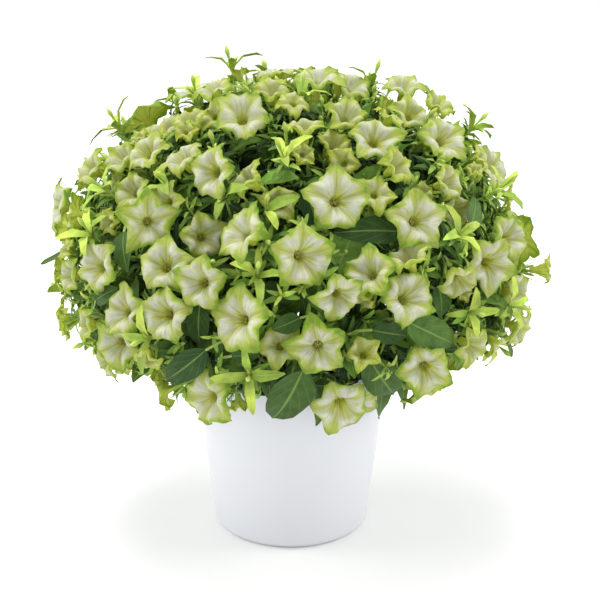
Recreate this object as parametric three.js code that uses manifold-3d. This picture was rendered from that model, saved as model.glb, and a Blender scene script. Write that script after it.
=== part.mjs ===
// A petunia grown into a full dome of blooms, in a plain white tapered pot that stands on its base.
// Millimetres, +Z up. The origin is the middle of the pot's flat base, and the best side faces -Y.

import * as THREE from 'three';
import { mergeVertices } from 'three/addons/utils/BufferGeometryUtils.js';
import Module from 'manifold-3d';

const wasm = await Module();
wasm.setup();

// Driving dimensions ----------------------------------------------------------------------------

const pot = {
  rimRadius: 100, footRadius: 77.5, height: 181, wall: 2.8, floor: 3.6, footRound: 6, rimEdge: 0.8,
  sides: 36,
};
const soil = { top: 167, seat: 0.3, sides: 24, holeDepth: 26, holeRadius: 3.3 };

// The dome that the blooms reach: half its width, and how far it goes above and below its middle.
const dome = { middle: 270, spread: 245, rise: 205, drop: 115, upperPower: 2, lowerPower: 2.8, heart: 235 };

// A square stem, and the knots along it from whose sides leaves and twigs grow.
const stem = {
  baseRadius: 2.7, tipRadius: 2.2, bend: 0.45, tipDepth: 72, seat: 0.3, knots: [0.4, 0.56, 0.72, 0.88],
  knotLength: 3.2, leaves: 3,
};
const hub = { radius: 2.4, height: 4, flowerStalkRadius: 1.2 };

// A trumpet-shaped bloom of full size, and how far it may move in and its stalk bow aside to find room.
const bloom = {
  tubeLength: 36, tubeRadius: 2.3, throatRadius: 8, throatDepth: 13, funnelDepth: 24, wall: 1.1,
  notch: 0.7, curl: 3, tipInset: 12, apart: 59, shifts: [0, 5, -5, 10, -10, 16, 22, 28, 36, 44, -16],
  bows: [0, 12, -12, 24, -24],
};
const leaf = { thickness: 0.8, clearance: 0.5, shifts: [0, 8, -6, 16, 24, 32] };
const twig = { radius: 1.5, inset: 16, apart: 57, fromBloom: 30 };

// Rings of shoots, from the top of the dome down: how high each ring points, how many shoots it has,
// where round the pot it starts, and how far from the pot's axis its stems leave the soil.
const shootRings = [
  { elevation: 90, count: 1, start: 0, soilRadius: 0 },
  { elevation: 57, count: 5, start: 18, soilRadius: 21 },
  { elevation: 30, count: 7, start: 40, soilRadius: 43 },
  { elevation: 2, count: 9, start: 10, soilRadius: 63 },
  { elevation: -27, count: 6, start: 30, soilRadius: 81 },
];

// The view that the seen blooms, leaves and tufts below were read in: a picture 600 pixels square.
const view = { elevation: 19, distance: 1600, aimX: 9, aimZ: 237, focalPixels: 1600, middlePixel: 300 };

// Blooms seen in that view: pixel across and down, how far the mouth turns right and up (-1 to 1),
// size across in pixels, and how many millimetres it sits behind the dome's surface.
const seenBlooms = [
  [303, 257, 0.35, -0.15, 66, 0], [338, 200, 0.25, 0.1, 66, 0], [418, 220, 0.3, 0.1, 60, 0],
  [148, 222, 0.15, -0.1, 58, 0], [163, 265, -0.2, 0.2, 55, 4], [199, 284, -0.35, -0.1, 57, 0],
  [240, 232, -0.6, 0.45, 62, 0], [204, 237, 0.3, 0, 48, 34], [163, 315, -0.5, 0, 55, 0],
  [121, 312, -0.6, 0.1, 50, 6], [238, 320, -0.6, 0.05, 66, 0], [318, 349, 0, -0.25, 60, 0],
  [340, 298, 0.3, -0.4, 50, 2], [368, 272, -0.4, 0.3, 56, 0], [408, 297, 0.4, 0.25, 58, 0],
  [341, 408, 0.1, -0.6, 62, 0], [207, 400, -0.65, -0.25, 60, 0], [426, 370, 0.1, -0.3, 52, 0],
  [280, 345, 0, 0.15, 44, 4], [408, 255, -0.3, 0.8, 42, 8], [512, 236, 0.6, 0.2, 50, 0],
  [491, 264, 0.4, -0.2, 55, 4], [460, 284, 0.3, -0.7, 42, 4], [549, 270, 0.97, 0, 28, 0],
  [522, 330, 0.8, -0.4, 42, 0], [57, 206, -0.92, 0.1, 50, 0], [95, 267, -0.65, 0, 52, 0],
  [67, 276, -0.85, 0, 42, 22], [84, 325, -0.9, 0, 38, 0], [116, 346, -0.4, -0.3, 52, 0],
  [242, 115, 0, 0.45, 54, 0], [212, 88, -0.4, 0.8, 44, 0], [272, 88, -0.05, 0.75, 38, 0],
  [318, 76, 0.1, 0.85, 52, 0], [352, 84, 0.4, 0.7, 44, 0], [347, 114, 0.2, 0.5, 40, 4],
  [305, 124, 0, 0.9, 40, 0], [335, 142, 0.3, 0.6, 34, 26], [376, 138, 0.2, 0.45, 52, 0],
  [399, 165, 0.6, 0.4, 40, 6], [404, 84, 0.1, 0.8, 42, 0], [412, 112, 0.3, 0.5, 40, 2],
  [445, 138, 0.5, 0.4, 54, 0], [440, 103, 0.5, 0.7, 34, 0], [493, 166, 0.7, 0.35, 46, 0],
  [451, 181, 0.75, 0.25, 42, 4], [458, 213, 0.6, -0.1, 38, 16], [210, 172, -0.6, 0, 54, 0],
  [244, 178, -0.7, 0.5, 40, 6], [279, 203, -0.1, 0.1, 38, 26], [181, 156, -0.5, 0.7, 44, 2],
  [146, 150, -0.4, 0.6, 44, 0], [119, 156, -0.6, 0.5, 42, 0], [89, 168, -0.75, 0.4, 38, 0],
  [166, 126, -0.4, 0.75, 40, 0], [189, 117, -0.3, 0.8, 36, 6], [130, 190, -0.5, 0.3, 42, 18],
  [364, 352, 0, 0.3, 36, 4], [519, 292, 0.8, 0, 44, 8], [474, 348, 0.6, -0.4, 40, 0],
];

// Large leaves seen in that view: pixels of the foot and of the tip, width in pixels, millimetres
// behind the dome's surface.
const seenLeaves = [
  [402, 232, 333, 232, 27, 24], [303, 370, 272, 422, 40, 2], [369, 358, 396, 398, 34, 6],
  [408, 322, 456, 345, 30, 8], [206, 350, 164, 382, 27, 8], [200, 306, 199, 346, 24, 26],
  [124, 232, 127, 273, 24, 14], [268, 362, 271, 404, 15, 4], [258, 366, 244, 402, 15, 14],
  [305, 186, 318, 232, 24, 30], [372, 330, 408, 336, 20, 14], [262, 288, 292, 300, 20, 22],
  [350, 350, 340, 392, 26, 16], [300, 318, 272, 330, 18, 16], [470, 226, 476, 196, 20, 12],
  [438, 286, 442, 318, 24, 26], [232, 356, 262, 352, 16, 10], [96, 300, 118, 288, 18, 16],
];

// Tufts of young leaves and buds seen in that view: pixels, and millimetres behind the surface.
const seenTufts = [
  [285, 160, 2], [108, 192, 0], [371, 86, 6], [257, 277, 8], [470, 312, 2], [496, 192, 2],
  [250, 374, 4], [432, 322, 8], [92, 236, 4], [458, 236, 6], [320, 304, 6], [225, 196, 14],
  [390, 346, 6], [266, 210, 14], [168, 186, 16], [120, 128, 4], [232, 70, 4], [470, 130, 2],
  [300, 100, 8], [150, 338, 8], [506, 306, 4], [440, 250, 16], [196, 96, 4], [532, 262, 2],
];

// Broad leaves that hang over the pot's rim where that view doesn't reach.
const skirt = { count: 13, footOut: 122, footUp: 206, tipOut: 136, tipUp: 156, swing: 14, width: 34 };

const hiddenBloomTries = 190;
const hiddenTuftTries = 150;
const goldenAngle = Math.PI * (3 - Math.sqrt(5));

// Small helpers ---------------------------------------------------------------------------------

const vector = (x, y, z) => new THREE.Vector3(x, y, z);
const mix = (a, b, share) => a.clone().lerp(b, share);
const along = (from, direction, distance) => from.clone().addScaledVector(direction, distance);
const towards = (from, to) => to.clone().sub(from).normalize();
const radians = THREE.MathUtils.degToRad;
const lerp = THREE.MathUtils.lerp;
const skyward = vector(0, 0, 1);

// Evenly spread numbers from 0 to 1, the same each time for the same seed.
function makeRandom(seed) {
  let state = (seed * 7919 + 104729) >>> 0;
  const draw = () => {
    state = (Math.imul(state, 1664525) + 1013904223) >>> 0;
    return state / 4294967296;
  };
  draw();
  draw();
  return (low = 0, high = 1) => low + (high - low) * draw();
}

// The part of hint that is square to direction, as a unit vector.
function squareTo(direction, hint) {
  return along(hint, direction, -hint.dot(direction)).normalize();
}

function anySquareTo(direction) {
  return squareTo(direction, Math.abs(direction.z) > 0.9 ? vector(1, 0, 0) : skyward);
}

function turned(first, second, angle) {
  return first.clone().multiplyScalar(Math.cos(angle)).addScaledVector(second, Math.sin(angle));
}

// A ring of points round middle, turning from side towards direction x side.
function ringOf(middle, direction, side, radii, start = 0) {
  const other = direction.clone().cross(side);
  return radii.map((radius, i) => {
    const angle = ((i + start) / radii.length) * 2 * Math.PI;
    return along(middle, turned(side, other, angle), radius);
  });
}

const evenRing = (middle, direction, side, radius, count = 4) =>
  ringOf(middle, direction, side, Array(count).fill(radius), 0.5);

// Skins -----------------------------------------------------------------------------------------

// A skin grows outwards ring by ring. Each ring runs anticlockwise as seen from its tip. A side of a
// rod that is left open is a port: a ring of four points, from which a leaf or a twig can grow.
function makeSkin() {
  return { points: [], faces: [] };
}

function addRing(skin, ring) {
  const first = skin.points.length;
  skin.points.push(...ring);
  return ring.map((_, i) => first + i);
}

function bridge(skin, from, to) {
  const near = closestTurn(skin, from, to);
  let [i, j] = [0, 0];
  while (i < near.length || j < to.length) {
    const [here, there] = [near[i % near.length], to[j % to.length]];
    if (j >= to.length || (i < near.length && (i + 1) / near.length <= (j + 1) / to.length)) {
      i++;
      if (near.length > 1) skin.faces.push([here, near[i % near.length], there]);
    } else {
      j++;
      if (to.length > 1) skin.faces.push([here, to[j % to.length], there]);
    }
  }
}

// Turns a ring's list so that its points lie nearest to those of the ring that it is joined to.
function closestTurn(skin, from, to) {
  const gap = (shift) => to.reduce((sum, point, j) => {
    const i = (Math.round((j * from.length) / to.length) + shift) % from.length;
    return sum + skin.points[from[i]].distanceTo(skin.points[point]);
  }, 0);
  const shifts = from.map((_, shift) => shift).sort((a, b) => gap(a) - gap(b));
  return from.map((_, i) => from[(i + shifts[0]) % from.length]);
}

function close(skin, ring) {
  for (let i = 1; i + 1 < ring.length; i++) skin.faces.push([ring[0], ring[i], ring[i + 1]]);
}

// Grows rings one after another from a ring that is there already, and returns the last.
function grow(skin, from, rings) {
  let last = from;
  for (const ring of rings) {
    const next = addRing(skin, ring);
    bridge(skin, last, next);
    last = next;
  }
  return last;
}

// The four open sides between two rings of a square rod.
function portsBetween(lower, upper) {
  return lower.map((point, i) => {
    const next = (i + 1) % lower.length;
    return [point, lower[next], upper[next], upper[i]];
  });
}

function closedSkin(rings) {
  const skin = makeSkin();
  const first = addRing(skin, rings[0]);
  close(skin, [...first].reverse());
  close(skin, grow(skin, first, rings.slice(1)));
  return skin;
}

function geometryOf({ points, faces }) {
  const geometry = new THREE.BufferGeometry().setFromPoints(points);
  geometry.setIndex(faces.flat());
  return geometry;
}

// A closed geometry as a solid, with shared points merged and its faces pointing out.
function solidOf(geometry) {
  geometry.deleteAttribute('normal');
  geometry.deleteAttribute('uv');
  const merged = mergeVertices(geometry, 1e-4);
  const triangles = [];
  for (let i = 0; i < merged.index.count; i += 3) {
    const [a, b, c] = [0, 1, 2].map((k) => merged.index.getX(i + k));
    if (a !== b && b !== c && c !== a) triangles.push(a, b, c);
  }
  const mesh = new wasm.Mesh({
    numProp: 3,
    vertProperties: Float32Array.from(merged.attributes.position.array),
    triVerts: Uint32Array.from(triangles),
  });
  return new wasm.Manifold(mesh);
}

// The dome and the view of it -------------------------------------------------------------------

function domePoint(azimuth, elevation, inset) {
  const [out, up] = [Math.cos(elevation), Math.sin(elevation)];
  const power = up > 0 ? dome.upperPower : dome.lowerPower;
  const tall = (up > 0 ? dome.rise : dome.drop) - inset;
  const reach = ((out / (dome.spread - inset)) ** power + (Math.abs(up) / tall) ** power) ** (-1 / power);
  return vector(out * Math.cos(azimuth) * reach, out * Math.sin(azimuth) * reach, dome.middle + up * reach);
}

// Under 1 inside the dome, over 1 outside it.
function domeLevel(point, inset) {
  const above = point.z - dome.middle;
  const power = above > 0 ? dome.upperPower : dome.lowerPower;
  const tall = (above > 0 ? dome.rise : dome.drop) - inset;
  const out = Math.hypot(point.x, point.y) / (dome.spread - inset);
  return out ** power + (Math.abs(above) / tall) ** power;
}

function outwardAt(point) {
  const above = point.z - dome.middle;
  const tall = above > 0 ? dome.rise : dome.drop * 1.3;
  return vector(point.x / dome.spread ** 2, point.y / dome.spread ** 2, above / tall ** 2).normalize();
}

const tilt = radians(view.elevation);
const forward = vector(0, Math.cos(tilt), -Math.sin(tilt));
const upward = vector(0, Math.sin(tilt), Math.cos(tilt));
const eye = along(vector(view.aimX, 0, view.aimZ), forward, -view.distance);

function sightLine(pixelX, pixelY) {
  const across = vector(pixelX - view.middlePixel, 0, 0);
  return across.addScaledVector(upward, view.middlePixel - pixelY)
    .addScaledVector(forward, view.focalPixels).normalize();
}

// Where a line of sight first meets the dome, or where it passes nearest to it.
function placeSeen(pixelX, pixelY, inset) {
  const line = sightLine(pixelX, pixelY);
  let [best, bestLevel] = [null, Infinity];
  for (let distance = 1300; distance < 1800; distance += 1) {
    const point = along(eye, line, distance);
    const level = domeLevel(point, inset);
    if (level <= 1) return point;
    if (level < bestLevel) [best, bestLevel] = [point, level];
  }
  return best;
}

function facingSeen(right, up) {
  const facing = vector(right, 0, 0).addScaledVector(upward, up);
  const towardsEye = Math.sqrt(Math.max(0.02, 1 - right * right - up * up));
  return facing.addScaledVector(forward, -towardsEye).normalize();
}

// Layout: where the shoots, blooms, leaves and tufts go -----------------------------------------

function layOutShoots() {
  const shoots = [];
  const heart = vector(0, 0, dome.heart);
  for (const ring of shootRings) {
    for (let i = 0; i < ring.count; i++) {
      const azimuth = radians(ring.start + (360 * i) / ring.count);
      const crown = domePoint(azimuth, radians(ring.elevation), 0);
      const out = crown.clone().sub(heart).normalize();
      const hubMiddle = along(crown, out, -stem.tipDepth);
      const top = along(hubMiddle, out, -hub.height / 2 - stem.seat);
      const reach = ring.soilRadius;
      const foot = vector(reach * Math.cos(azimuth), reach * Math.sin(azimuth), soil.top + 3);
      const bend = foot.distanceTo(top) * stem.bend;
      const curve = new THREE.CubicBezierCurve3(
        foot, along(foot, skyward, bend), along(top, out, -bend), top);
      const side = vector(-Math.sin(azimuth), Math.cos(azimuth), 0);
      shoots.push({ crown, out, hubMiddle, foot, curve, side });
    }
  }
  return shoots;
}

// The numbers of the shoots whose crowns are nearest to a point, the nearest first.
function nearestShoots(shoots, point, count = 2) {
  const distance = (k) => shoots[k].crown.distanceTo(point);
  return [...shoots.keys()].sort((a, b) => distance(a) - distance(b)).slice(0, count);
}

function layOutBlooms() {
  const blooms = [];
  seenBlooms.forEach(([x, y, right, up, across, behind], k) => {
    const middle = placeSeen(x, y, bloom.tipInset);
    const slide = sightLine(x, y);
    const radius = (across / 2) * (middle.distanceTo(eye) / view.focalPixels);
    const facing = facingSeen(right, up);
    blooms.push({ middle: along(middle, slide, behind), slide, facing, radius, seed: k });
  });
  for (let i = 0; i < hiddenBloomTries; i++) {
    const random = makeRandom(500 + i);
    const height = 1 - (1.52 * (i + 0.5)) / hiddenBloomTries;
    const azimuth = i * goldenAngle + random(-0.1, 0.1);
    const middle = domePoint(azimuth, Math.asin(height), bloom.tipInset);
    const out = outwardAt(middle);
    const [tiltA, tiltB, tiltC] = [random(-0.4, 0.4), random(-0.4, 0.4), random(-0.1, 0.4)];
    const radius = random() < 0.22 ? random(16, 22) : random(25, 31);
    const crowded = blooms.some((other) => other.middle.distanceTo(middle) < bloom.apart);
    if (crowded || out.dot(forward) < -0.2) continue;
    const facing = out.clone().add(vector(tiltA, tiltB, tiltC)).normalize();
    blooms.push({ middle, slide: out.clone().negate(), facing, radius, seed: 500 + i });
  }
  return blooms;
}

function layOutTufts(blooms) {
  const tufts = seenTufts.map(([x, y, behind], k) => {
    const middle = placeSeen(x, y, twig.inset);
    return { middle: along(middle, sightLine(x, y), behind), seed: 2000 + k, leaves: 4 };
  });
  for (let i = 0; i < hiddenTuftTries; i++) {
    const height = 1 - (1.5 * (i + 0.5)) / hiddenTuftTries;
    const middle = domePoint(i * goldenAngle + 2, Math.asin(height), twig.inset);
    if (outwardAt(middle).dot(forward) < -0.15) continue;
    if (blooms.some((other) => other.middle.distanceTo(middle) < twig.fromBloom)) continue;
    if (tufts.some((other) => other.middle.distanceTo(middle) < twig.apart)) continue;
    tufts.push({ middle, seed: 2500 + i, leaves: 3 });
  }
  return tufts;
}

// Shapes ----------------------------------------------------------------------------------------

const wallSlope = (pot.rimRadius - pot.footRadius) / pot.height;

function makePot() {
  const { footRadius, height, wall, floor, footRound, rimEdge, sides } = pot;
  const outer = (z) => footRadius + wallSlope * z;
  const inner = (z) => outer(z) - wall;
  const profile = [
    [0, 0], [footRadius - footRound, 0], [footRadius - footRound * 0.3, footRound * 0.3],
    [outer(footRound), footRound], [outer(height - rimEdge), height - rimEdge],
    [outer(height) - rimEdge, height], [inner(height), height], [inner(floor), floor], [0, floor],
  ];
  return solidOf(turnedProfile(profile, sides));
}

function turnedProfile(profile, sides) {
  const points = profile.map(([radius, z]) => new THREE.Vector2(radius, z));
  return new THREE.LatheGeometry(points, sides).rotateX(Math.PI / 2);
}

function makeSoil(shoots) {
  const narrowest = Math.cos(Math.PI / pot.sides);
  const wallAt = (z) => (pot.footRadius + wallSlope * z - pot.wall) * narrowest - soil.seat;
  const bottom = pot.floor + soil.seat;
  const profile = [
    [0, bottom], [wallAt(bottom) - 4.6, bottom], [wallAt(bottom + 5) - 0.4, bottom + 5],
    [wallAt(soil.top), soil.top - 2], [wallAt(soil.top) - 5, soil.top], [0, soil.top],
  ];
  let body = solidOf(turnedProfile(profile, soil.sides));
  for (const { foot, side } of shoots) {
    const corner = soil.holeRadius * Math.SQRT2;
    const hole = [-soil.holeDepth, soil.holeDepth]
      .map((z) => evenRing(vector(foot.x, foot.y, soil.top + z), skyward, side, corner));
    body = body.subtract(solidOf(geometryOf(closedSkin(hole))));
  }
  return body;
}

// A flower stalk and a trumpet with five pointed lobes, as rings from the stalk to the funnel's bottom.
// A bloom that is half open is narrower and deeper. The first ring only serves to test the room.
function bloomRings({ middle, facing, radius, seed, bow }, root) {
  const random = makeRandom(seed);
  const roll = random(0, 2 * Math.PI);
  const lobes = Array.from({ length: 5 }, () => (
    { reach: random(0.92, 1.1), curl: random(0, 1), notch: random(0.94, 1.06) }));
  const scale = radius < 23 ? 0.86 : 1;
  const opened = THREE.MathUtils.clamp((radius - 14) / 16, 0, 1);
  const throatRadius = bloom.throatRadius * scale * lerp(0.75, 1, opened);
  const throatDepth = lerp(20, bloom.throatDepth, opened);
  const tube = bloom.tubeLength * scale;
  const square = anySquareTo(facing);
  const side = turned(square, facing.clone().cross(square), roll);
  const rim = (back) => {
    const radii = lobes.flatMap(({ reach, notch }) => [radius * bloom.notch * notch, radius * reach]);
    return ringOf(middle, facing, side, radii, 0.5).map((point, i) => {
      const rise = i % 2 ? -lobes[(i - 1) / 2].curl * bloom.curl : 1;
      return along(point, facing, rise - back);
    });
  };
  const ringAt = (depth, size) => (
    ringOf(along(middle, facing, -depth), facing, side, Array(5).fill(size), 0.75));
  const tubeEnd = along(middle, facing, -tube);
  const straight = along(tubeEnd, facing, -Math.min(26, 0.42 * tubeEnd.distanceTo(root)));
  const sideways = facing.clone().cross(towards(root, middle)).normalize();
  const path = new THREE.QuadraticBezierCurve3(root, along(straight, sideways, bow), tubeEnd);
  const start = path.getPoint(0.3);
  const startWay = path.getTangent(0.3);
  const half = path.getPoint(0.62);
  const halfWay = path.getTangent(0.62);
  const startSide = anySquareTo(startWay);
  const halfSide = squareTo(halfWay, startSide);
  const endSide = squareTo(facing, halfSide);
  return [
    evenRing(start, startWay, startSide, hub.flowerStalkRadius),
    evenRing(half, halfWay, halfSide, hub.flowerStalkRadius),
    evenRing(tubeEnd, facing, endSide, bloom.tubeRadius),
    ringAt(throatDepth + bloom.wall * 1.5, throatRadius + bloom.wall),
    rim(bloom.wall),
    rim(0),
    ringAt(throatDepth, throatRadius),
    [along(middle, facing, -bloom.funnelDepth * scale)],
  ];
}

// A thin arched blade as rings from foot to tip. A broad one is folded along its midrib.
function bladeRings({ root, direction, upper, length, width, arch, droop, fold, broad }, swell = 0) {
  const side = direction.clone().cross(upper).normalize();
  const lift = leaf.thickness / 2 + swell;
  const spineAt = (share) => {
    const rise = arch * 4 * share * (1 - share) - droop * share * share;
    return along(along(root, direction, length * share), upper, rise * length);
  };
  const row = (share, wide) => {
    const spine = spineAt(share);
    const half = (width / 2) * wide + swell;
    const edge = (hand, layer) => along(along(spine, side, hand * half), upper, fold * half + layer * lift);
    const middle = (layer) => along(spine, upper, layer * lift);
    if (!broad) return [edge(-1, -1), edge(1, -1), edge(1, 1), edge(-1, 1)].reverse();
    return [edge(-1, -1), middle(-1), edge(1, -1), edge(1, 1), middle(1), edge(-1, 1)].reverse();
  };
  const tip = [along(spineAt(1), direction, swell)];
  return broad ? [row(0.34, 1), row(0.7, 0.8), tip] : [row(0.5, 1), tip];
}

// The blade's foot, a little out from what it grows on, for testing that the blade has room.
function bladeFoot({ root, direction, upper }) {
  const foot = along(root, direction, 4);
  return evenRing(foot, direction, squareTo(direction, upper), 0.9);
}

const solidOfRings = (rings) => solidOf(geometryOf(closedSkin(rings)));

function makeBlade(blade) {
  return solidOfRings([bladeFoot(blade), ...bladeRings(blade, leaf.clearance)]);
}

// Growing the plant -----------------------------------------------------------------------------

// Every solid that stands so far, with its box.
const standing = [];

function boxesMeet(a, b) {
  return [0, 1, 2].every((k) => a.min[k] <= b.max[k] && b.min[k] <= a.max[k]);
}

function stand(solid, owner = null) {
  standing.push({ solid, owner, box: solid.boundingBox() });
}

function isClear(solid, owner = null) {
  const box = solid.boundingBox();
  return standing.every((other) => {
    if ((owner && other.owner === owner) || !boxesMeet(box, other.box)) return true;
    const shared = solid.intersect(other.solid);
    const clear = shared.isEmpty();
    shared.delete();
    return clear;
  });
}

// The blooms of each shoot's spray. Each is moved along its line of sight, or its stalk is bowed to
// one side, until it has room.
function placeBlooms(shoots, blooms) {
  const sprays = shoots.map(() => []);
  for (const item of blooms) {
    const ways = nearestShoots(shoots, item.middle, 3).flatMap((k) => (
      bloom.shifts.flatMap((shift) => bloom.bows.map((bow) => ({ k, shift, bow })))));
    ways.some(({ k, shift, bow }) => {
      const moved = { ...item, middle: along(item.middle, item.slide, shift), bow };
      const rings = bloomRings(moved, shoots[k].hubMiddle);
      const solid = solidOfRings(rings);
      if (!isClear(solid)) return false;
      const grown = [...sprays[k], { ...moved, rings }];
      if (!isSound(growSpray(shoots[k], grown), sprays[k])) return false;
      stand(solid, sprays[k]);
      sprays[k].push({ ...moved, rings });
      return true;
    });
  }
  standing.splice(0, standing.length, ...standing.filter(({ owner }) => !sprays.includes(owner)));
  sprays.forEach((spray, k) => stand(solidOf(geometryOf(growSpray(shoots[k], spray))), spray));
  return sprays;
}

// Whether a whole skin crosses neither itself nor anything that isn't its owner's.
function isSound(skin, owner) {
  const solid = solidOf(geometryOf(skin));
  const joined = solid.add(solid);
  const single = Math.abs(solid.volume() - joined.volume()) < 0.002;
  const sound = single && isClear(solid, owner);
  joined.delete();
  solid.delete();
  return sound;
}

// A short prism with a side for each flower stalk. The bloom most in line with it grows from its top.
function growSpray({ hubMiddle, out }, spray) {
  const wayTo = ({ rings }) => towards(hubMiddle, rings[1][0]);
  const byTop = [...spray].sort((a, b) => wayTo(b).dot(out) - wayTo(a).dot(out));
  const [crowning, ...others] = byTop;
  const square = anySquareTo(out);
  const across = out.clone().cross(square);
  const bearing = (item) => {
    const way = wayTo(item);
    return (Math.atan2(way.dot(across), way.dot(square)) + 2 * Math.PI) % (2 * Math.PI);
  };
  others.sort((a, b) => bearing(a) - bearing(b));
  const sides = Math.max(4, others.length);
  const ports = [...Array(sides).keys()];
  const start = others.length ? bearing(others[0]) : 0;
  const side = turned(square, across, start);
  const skin = makeSkin();
  const ring = (height) => (
    ringOf(along(hubMiddle, out, height), out, side, Array(sides).fill(hub.radius), -0.5));
  const lower = addRing(skin, ring(-hub.height / 2));
  const upper = addRing(skin, ring(hub.height / 2));
  close(skin, [...lower].reverse());
  const open = portsBetween(lower, upper);
  let next = 0;
  others.forEach((item, order) => {
    const wanted = Math.round((((bearing(item) - start) / (2 * Math.PI)) * sides)) % sides;
    const port = Math.min(Math.max(wanted, next), sides - (others.length - order));
    next = port + 1;
    ports[port] = null;
    close(skin, grow(skin, open[port], item.rings.slice(1)));
  });
  ports.filter((port) => port !== null).forEach((port) => close(skin, open[port]));
  close(skin, crowning ? grow(skin, upper, crowning.rings.slice(1)) : upper);
  return skin;
}

// A square stem whose sides are open at a few places, so that leaves and twigs can grow from them.
function layOutStem(shoot) {
  const { foot, curve, side } = shoot;
  const radiusAt = (share) => lerp(stem.baseRadius, stem.tipRadius, share) * Math.SQRT2;
  const ringAt = (share, shift = 0) => {
    const way = curve.getTangent(share);
    return evenRing(along(curve.getPoint(share), way, shift), way, side, radiusAt(share));
  };
  const lowest = vector(foot.x, foot.y, soil.top - soil.holeDepth + stem.seat);
  const bottom = evenRing(lowest, skyward, side, radiusAt(0));
  const knots = stem.knots.map((share) => {
    const rings = [-0.5, 0.5].map((shift) => ringAt(share, shift * stem.knotLength));
    const ports = portsBetween([0, 1, 2, 3], [4, 5, 6, 7]).map((corners) => {
      const place = corners.map((corner) => rings.flat()[corner]);
      const middle = mix(mix(place[0], place[2], 0.5), mix(place[1], place[3], 0.5), 0.5);
      return { middle, way: towards(curve.getPoint(share), middle), growth: null };
    });
    return { share, rings, ports, tangent: curve.getTangent(share) };
  });
  const rings = [0, 0.2, 0.4, 0.6, 0.8, 1].map((share) => ringAt(share));
  const solid = solidOfRings([bottom, ...rings]);
  return { ...shoot, bottom, first: ringAt(0), last: ringAt(1), knots, solid };
}

// The skin of a shoot: its stem, with what grows from its ports. Places without growth are left out.
function growShoot({ bottom, first, last, knots }) {
  const skin = makeSkin();
  const lowest = addRing(skin, bottom);
  close(skin, [...lowest].reverse());
  let ring = grow(skin, lowest, [first]);
  for (const { rings, ports, share } of knots) {
    const used = ports.some(({ growth }) => growth);
    if (!used && share !== stem.knots[1]) continue;
    ring = grow(skin, ring, [rings[0]]);
    if (!used) continue;
    const upper = addRing(skin, rings[1]);
    portsBetween(ring, upper).forEach((corners, i) => sprout(skin, corners, ports[i].growth));
    ring = upper;
  }
  close(skin, grow(skin, ring, [last]));
  return skin;
}

// Grows a twig or leaf from a port: its rings, with side leaves at the ring pairs that carry them.
function sprout(skin, port, growth) {
  if (!growth) {
    close(skin, port);
    return;
  }
  let ring = port;
  growth.rings.forEach((points, k) => {
    const blades = growth.blades?.[k];
    if (!blades) {
      ring = grow(skin, ring, [points]);
      return;
    }
    const upper = addRing(skin, points);
    const lower = closestTurn(skin, ring, upper);
    portsBetween(lower, upper).forEach((corners, i) => {
      sprout(skin, corners, blades[i] ? { rings: blades[i] } : null);
    });
    ring = upper;
  });
  close(skin, ring);
}

function freePorts(shoot, target, least) {
  return shoot.knots.flatMap((knot) => knot.ports.map((port) => ({ knot, port })))
    .filter(({ port }) => !port.growth)
    .map((spot) => ({ ...spot, fit: spot.port.way.dot(towards(spot.port.middle, target)) }))
    .filter(({ fit }) => fit > least)
    .sort((a, b) => b.fit - a.fit);
}

// The rings of a twig from a port to end, where it points along lean, without the port itself.
function twigRings({ knot, port }, end, lean, shares) {
  const reach = port.middle.distanceTo(end);
  const leaving = along(port.way, knot.tangent, 0.5).normalize();
  const path = new THREE.CubicBezierCurve3(
    port.middle, along(port.middle, leaving, reach * 0.35), along(end, lean, -reach * 0.3), end);
  let side = anySquareTo(path.getTangent(shares[0]));
  return shares.map((share) => {
    const way = path.getTangent(share);
    side = squareTo(way, side);
    return evenRing(path.getPoint(share), way, side, twig.radius);
  });
}

function layOutBroadLeaves() {
  const leaves = seenLeaves.map(([footX, footY, tipX, tipY, width, behind]) => ({
    foot: along(placeSeen(footX, footY, twig.inset), sightLine(footX, footY), behind),
    tip: along(placeSeen(tipX, tipY, twig.inset), sightLine(tipX, tipY), behind),
    slide: sightLine(footX, footY),
    width,
  }));
  for (let i = 0; i < skirt.count; i++) {
    const random = makeRandom(3000 + i);
    const azimuth = radians(-70 + (320 * i) / skirt.count + random(-6, 6));
    const out = vector(Math.cos(azimuth), Math.sin(azimuth), 0);
    const aside = vector(-Math.sin(azimuth), Math.cos(azimuth), 0);
    const foot = out.clone().multiplyScalar(skirt.footOut).setZ(skirt.footUp);
    const tip = along(out.clone().multiplyScalar(skirt.tipOut), aside, random(-skirt.swing, skirt.swing));
    tip.z = skirt.tipUp + random(-10, 10);
    leaves.push({ foot, tip, slide: out, width: skirt.width * random(0.8, 1.1) });
  }
  return leaves;
}

function growBroadLeaves(stems) {
  for (const { slide, width, ...planned } of layOutBroadLeaves()) {
    leaf.shifts.some((shift) => {
      const foot = along(planned.foot, slide, shift);
      const tip = along(planned.tip, slide, shift);
      const direction = towards(foot, tip);
      const facing = outwardAt(mix(foot, tip, 0.5));
      const blade = {
        root: foot, direction, upper: squareTo(direction, facing), length: foot.distanceTo(tip),
        width, arch: 0.07, droop: 0.05, fold: 0.16, broad: true,
      };
      if (!isClear(makeBlade(blade))) return false;
      return nearestShoots(stems, foot).some((k) => growOnShoot(stems[k], foot, 0, (spot) => {
        const rings = twigRings(spot, foot, direction, [0.12, 0.55, 1]);
        const tests = [solidOfRings(rings), makeBlade(blade)];
        return { rings: [...rings.slice(1), ...bladeRings(blade)], tests };
      }));
    });
  }
}

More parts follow.
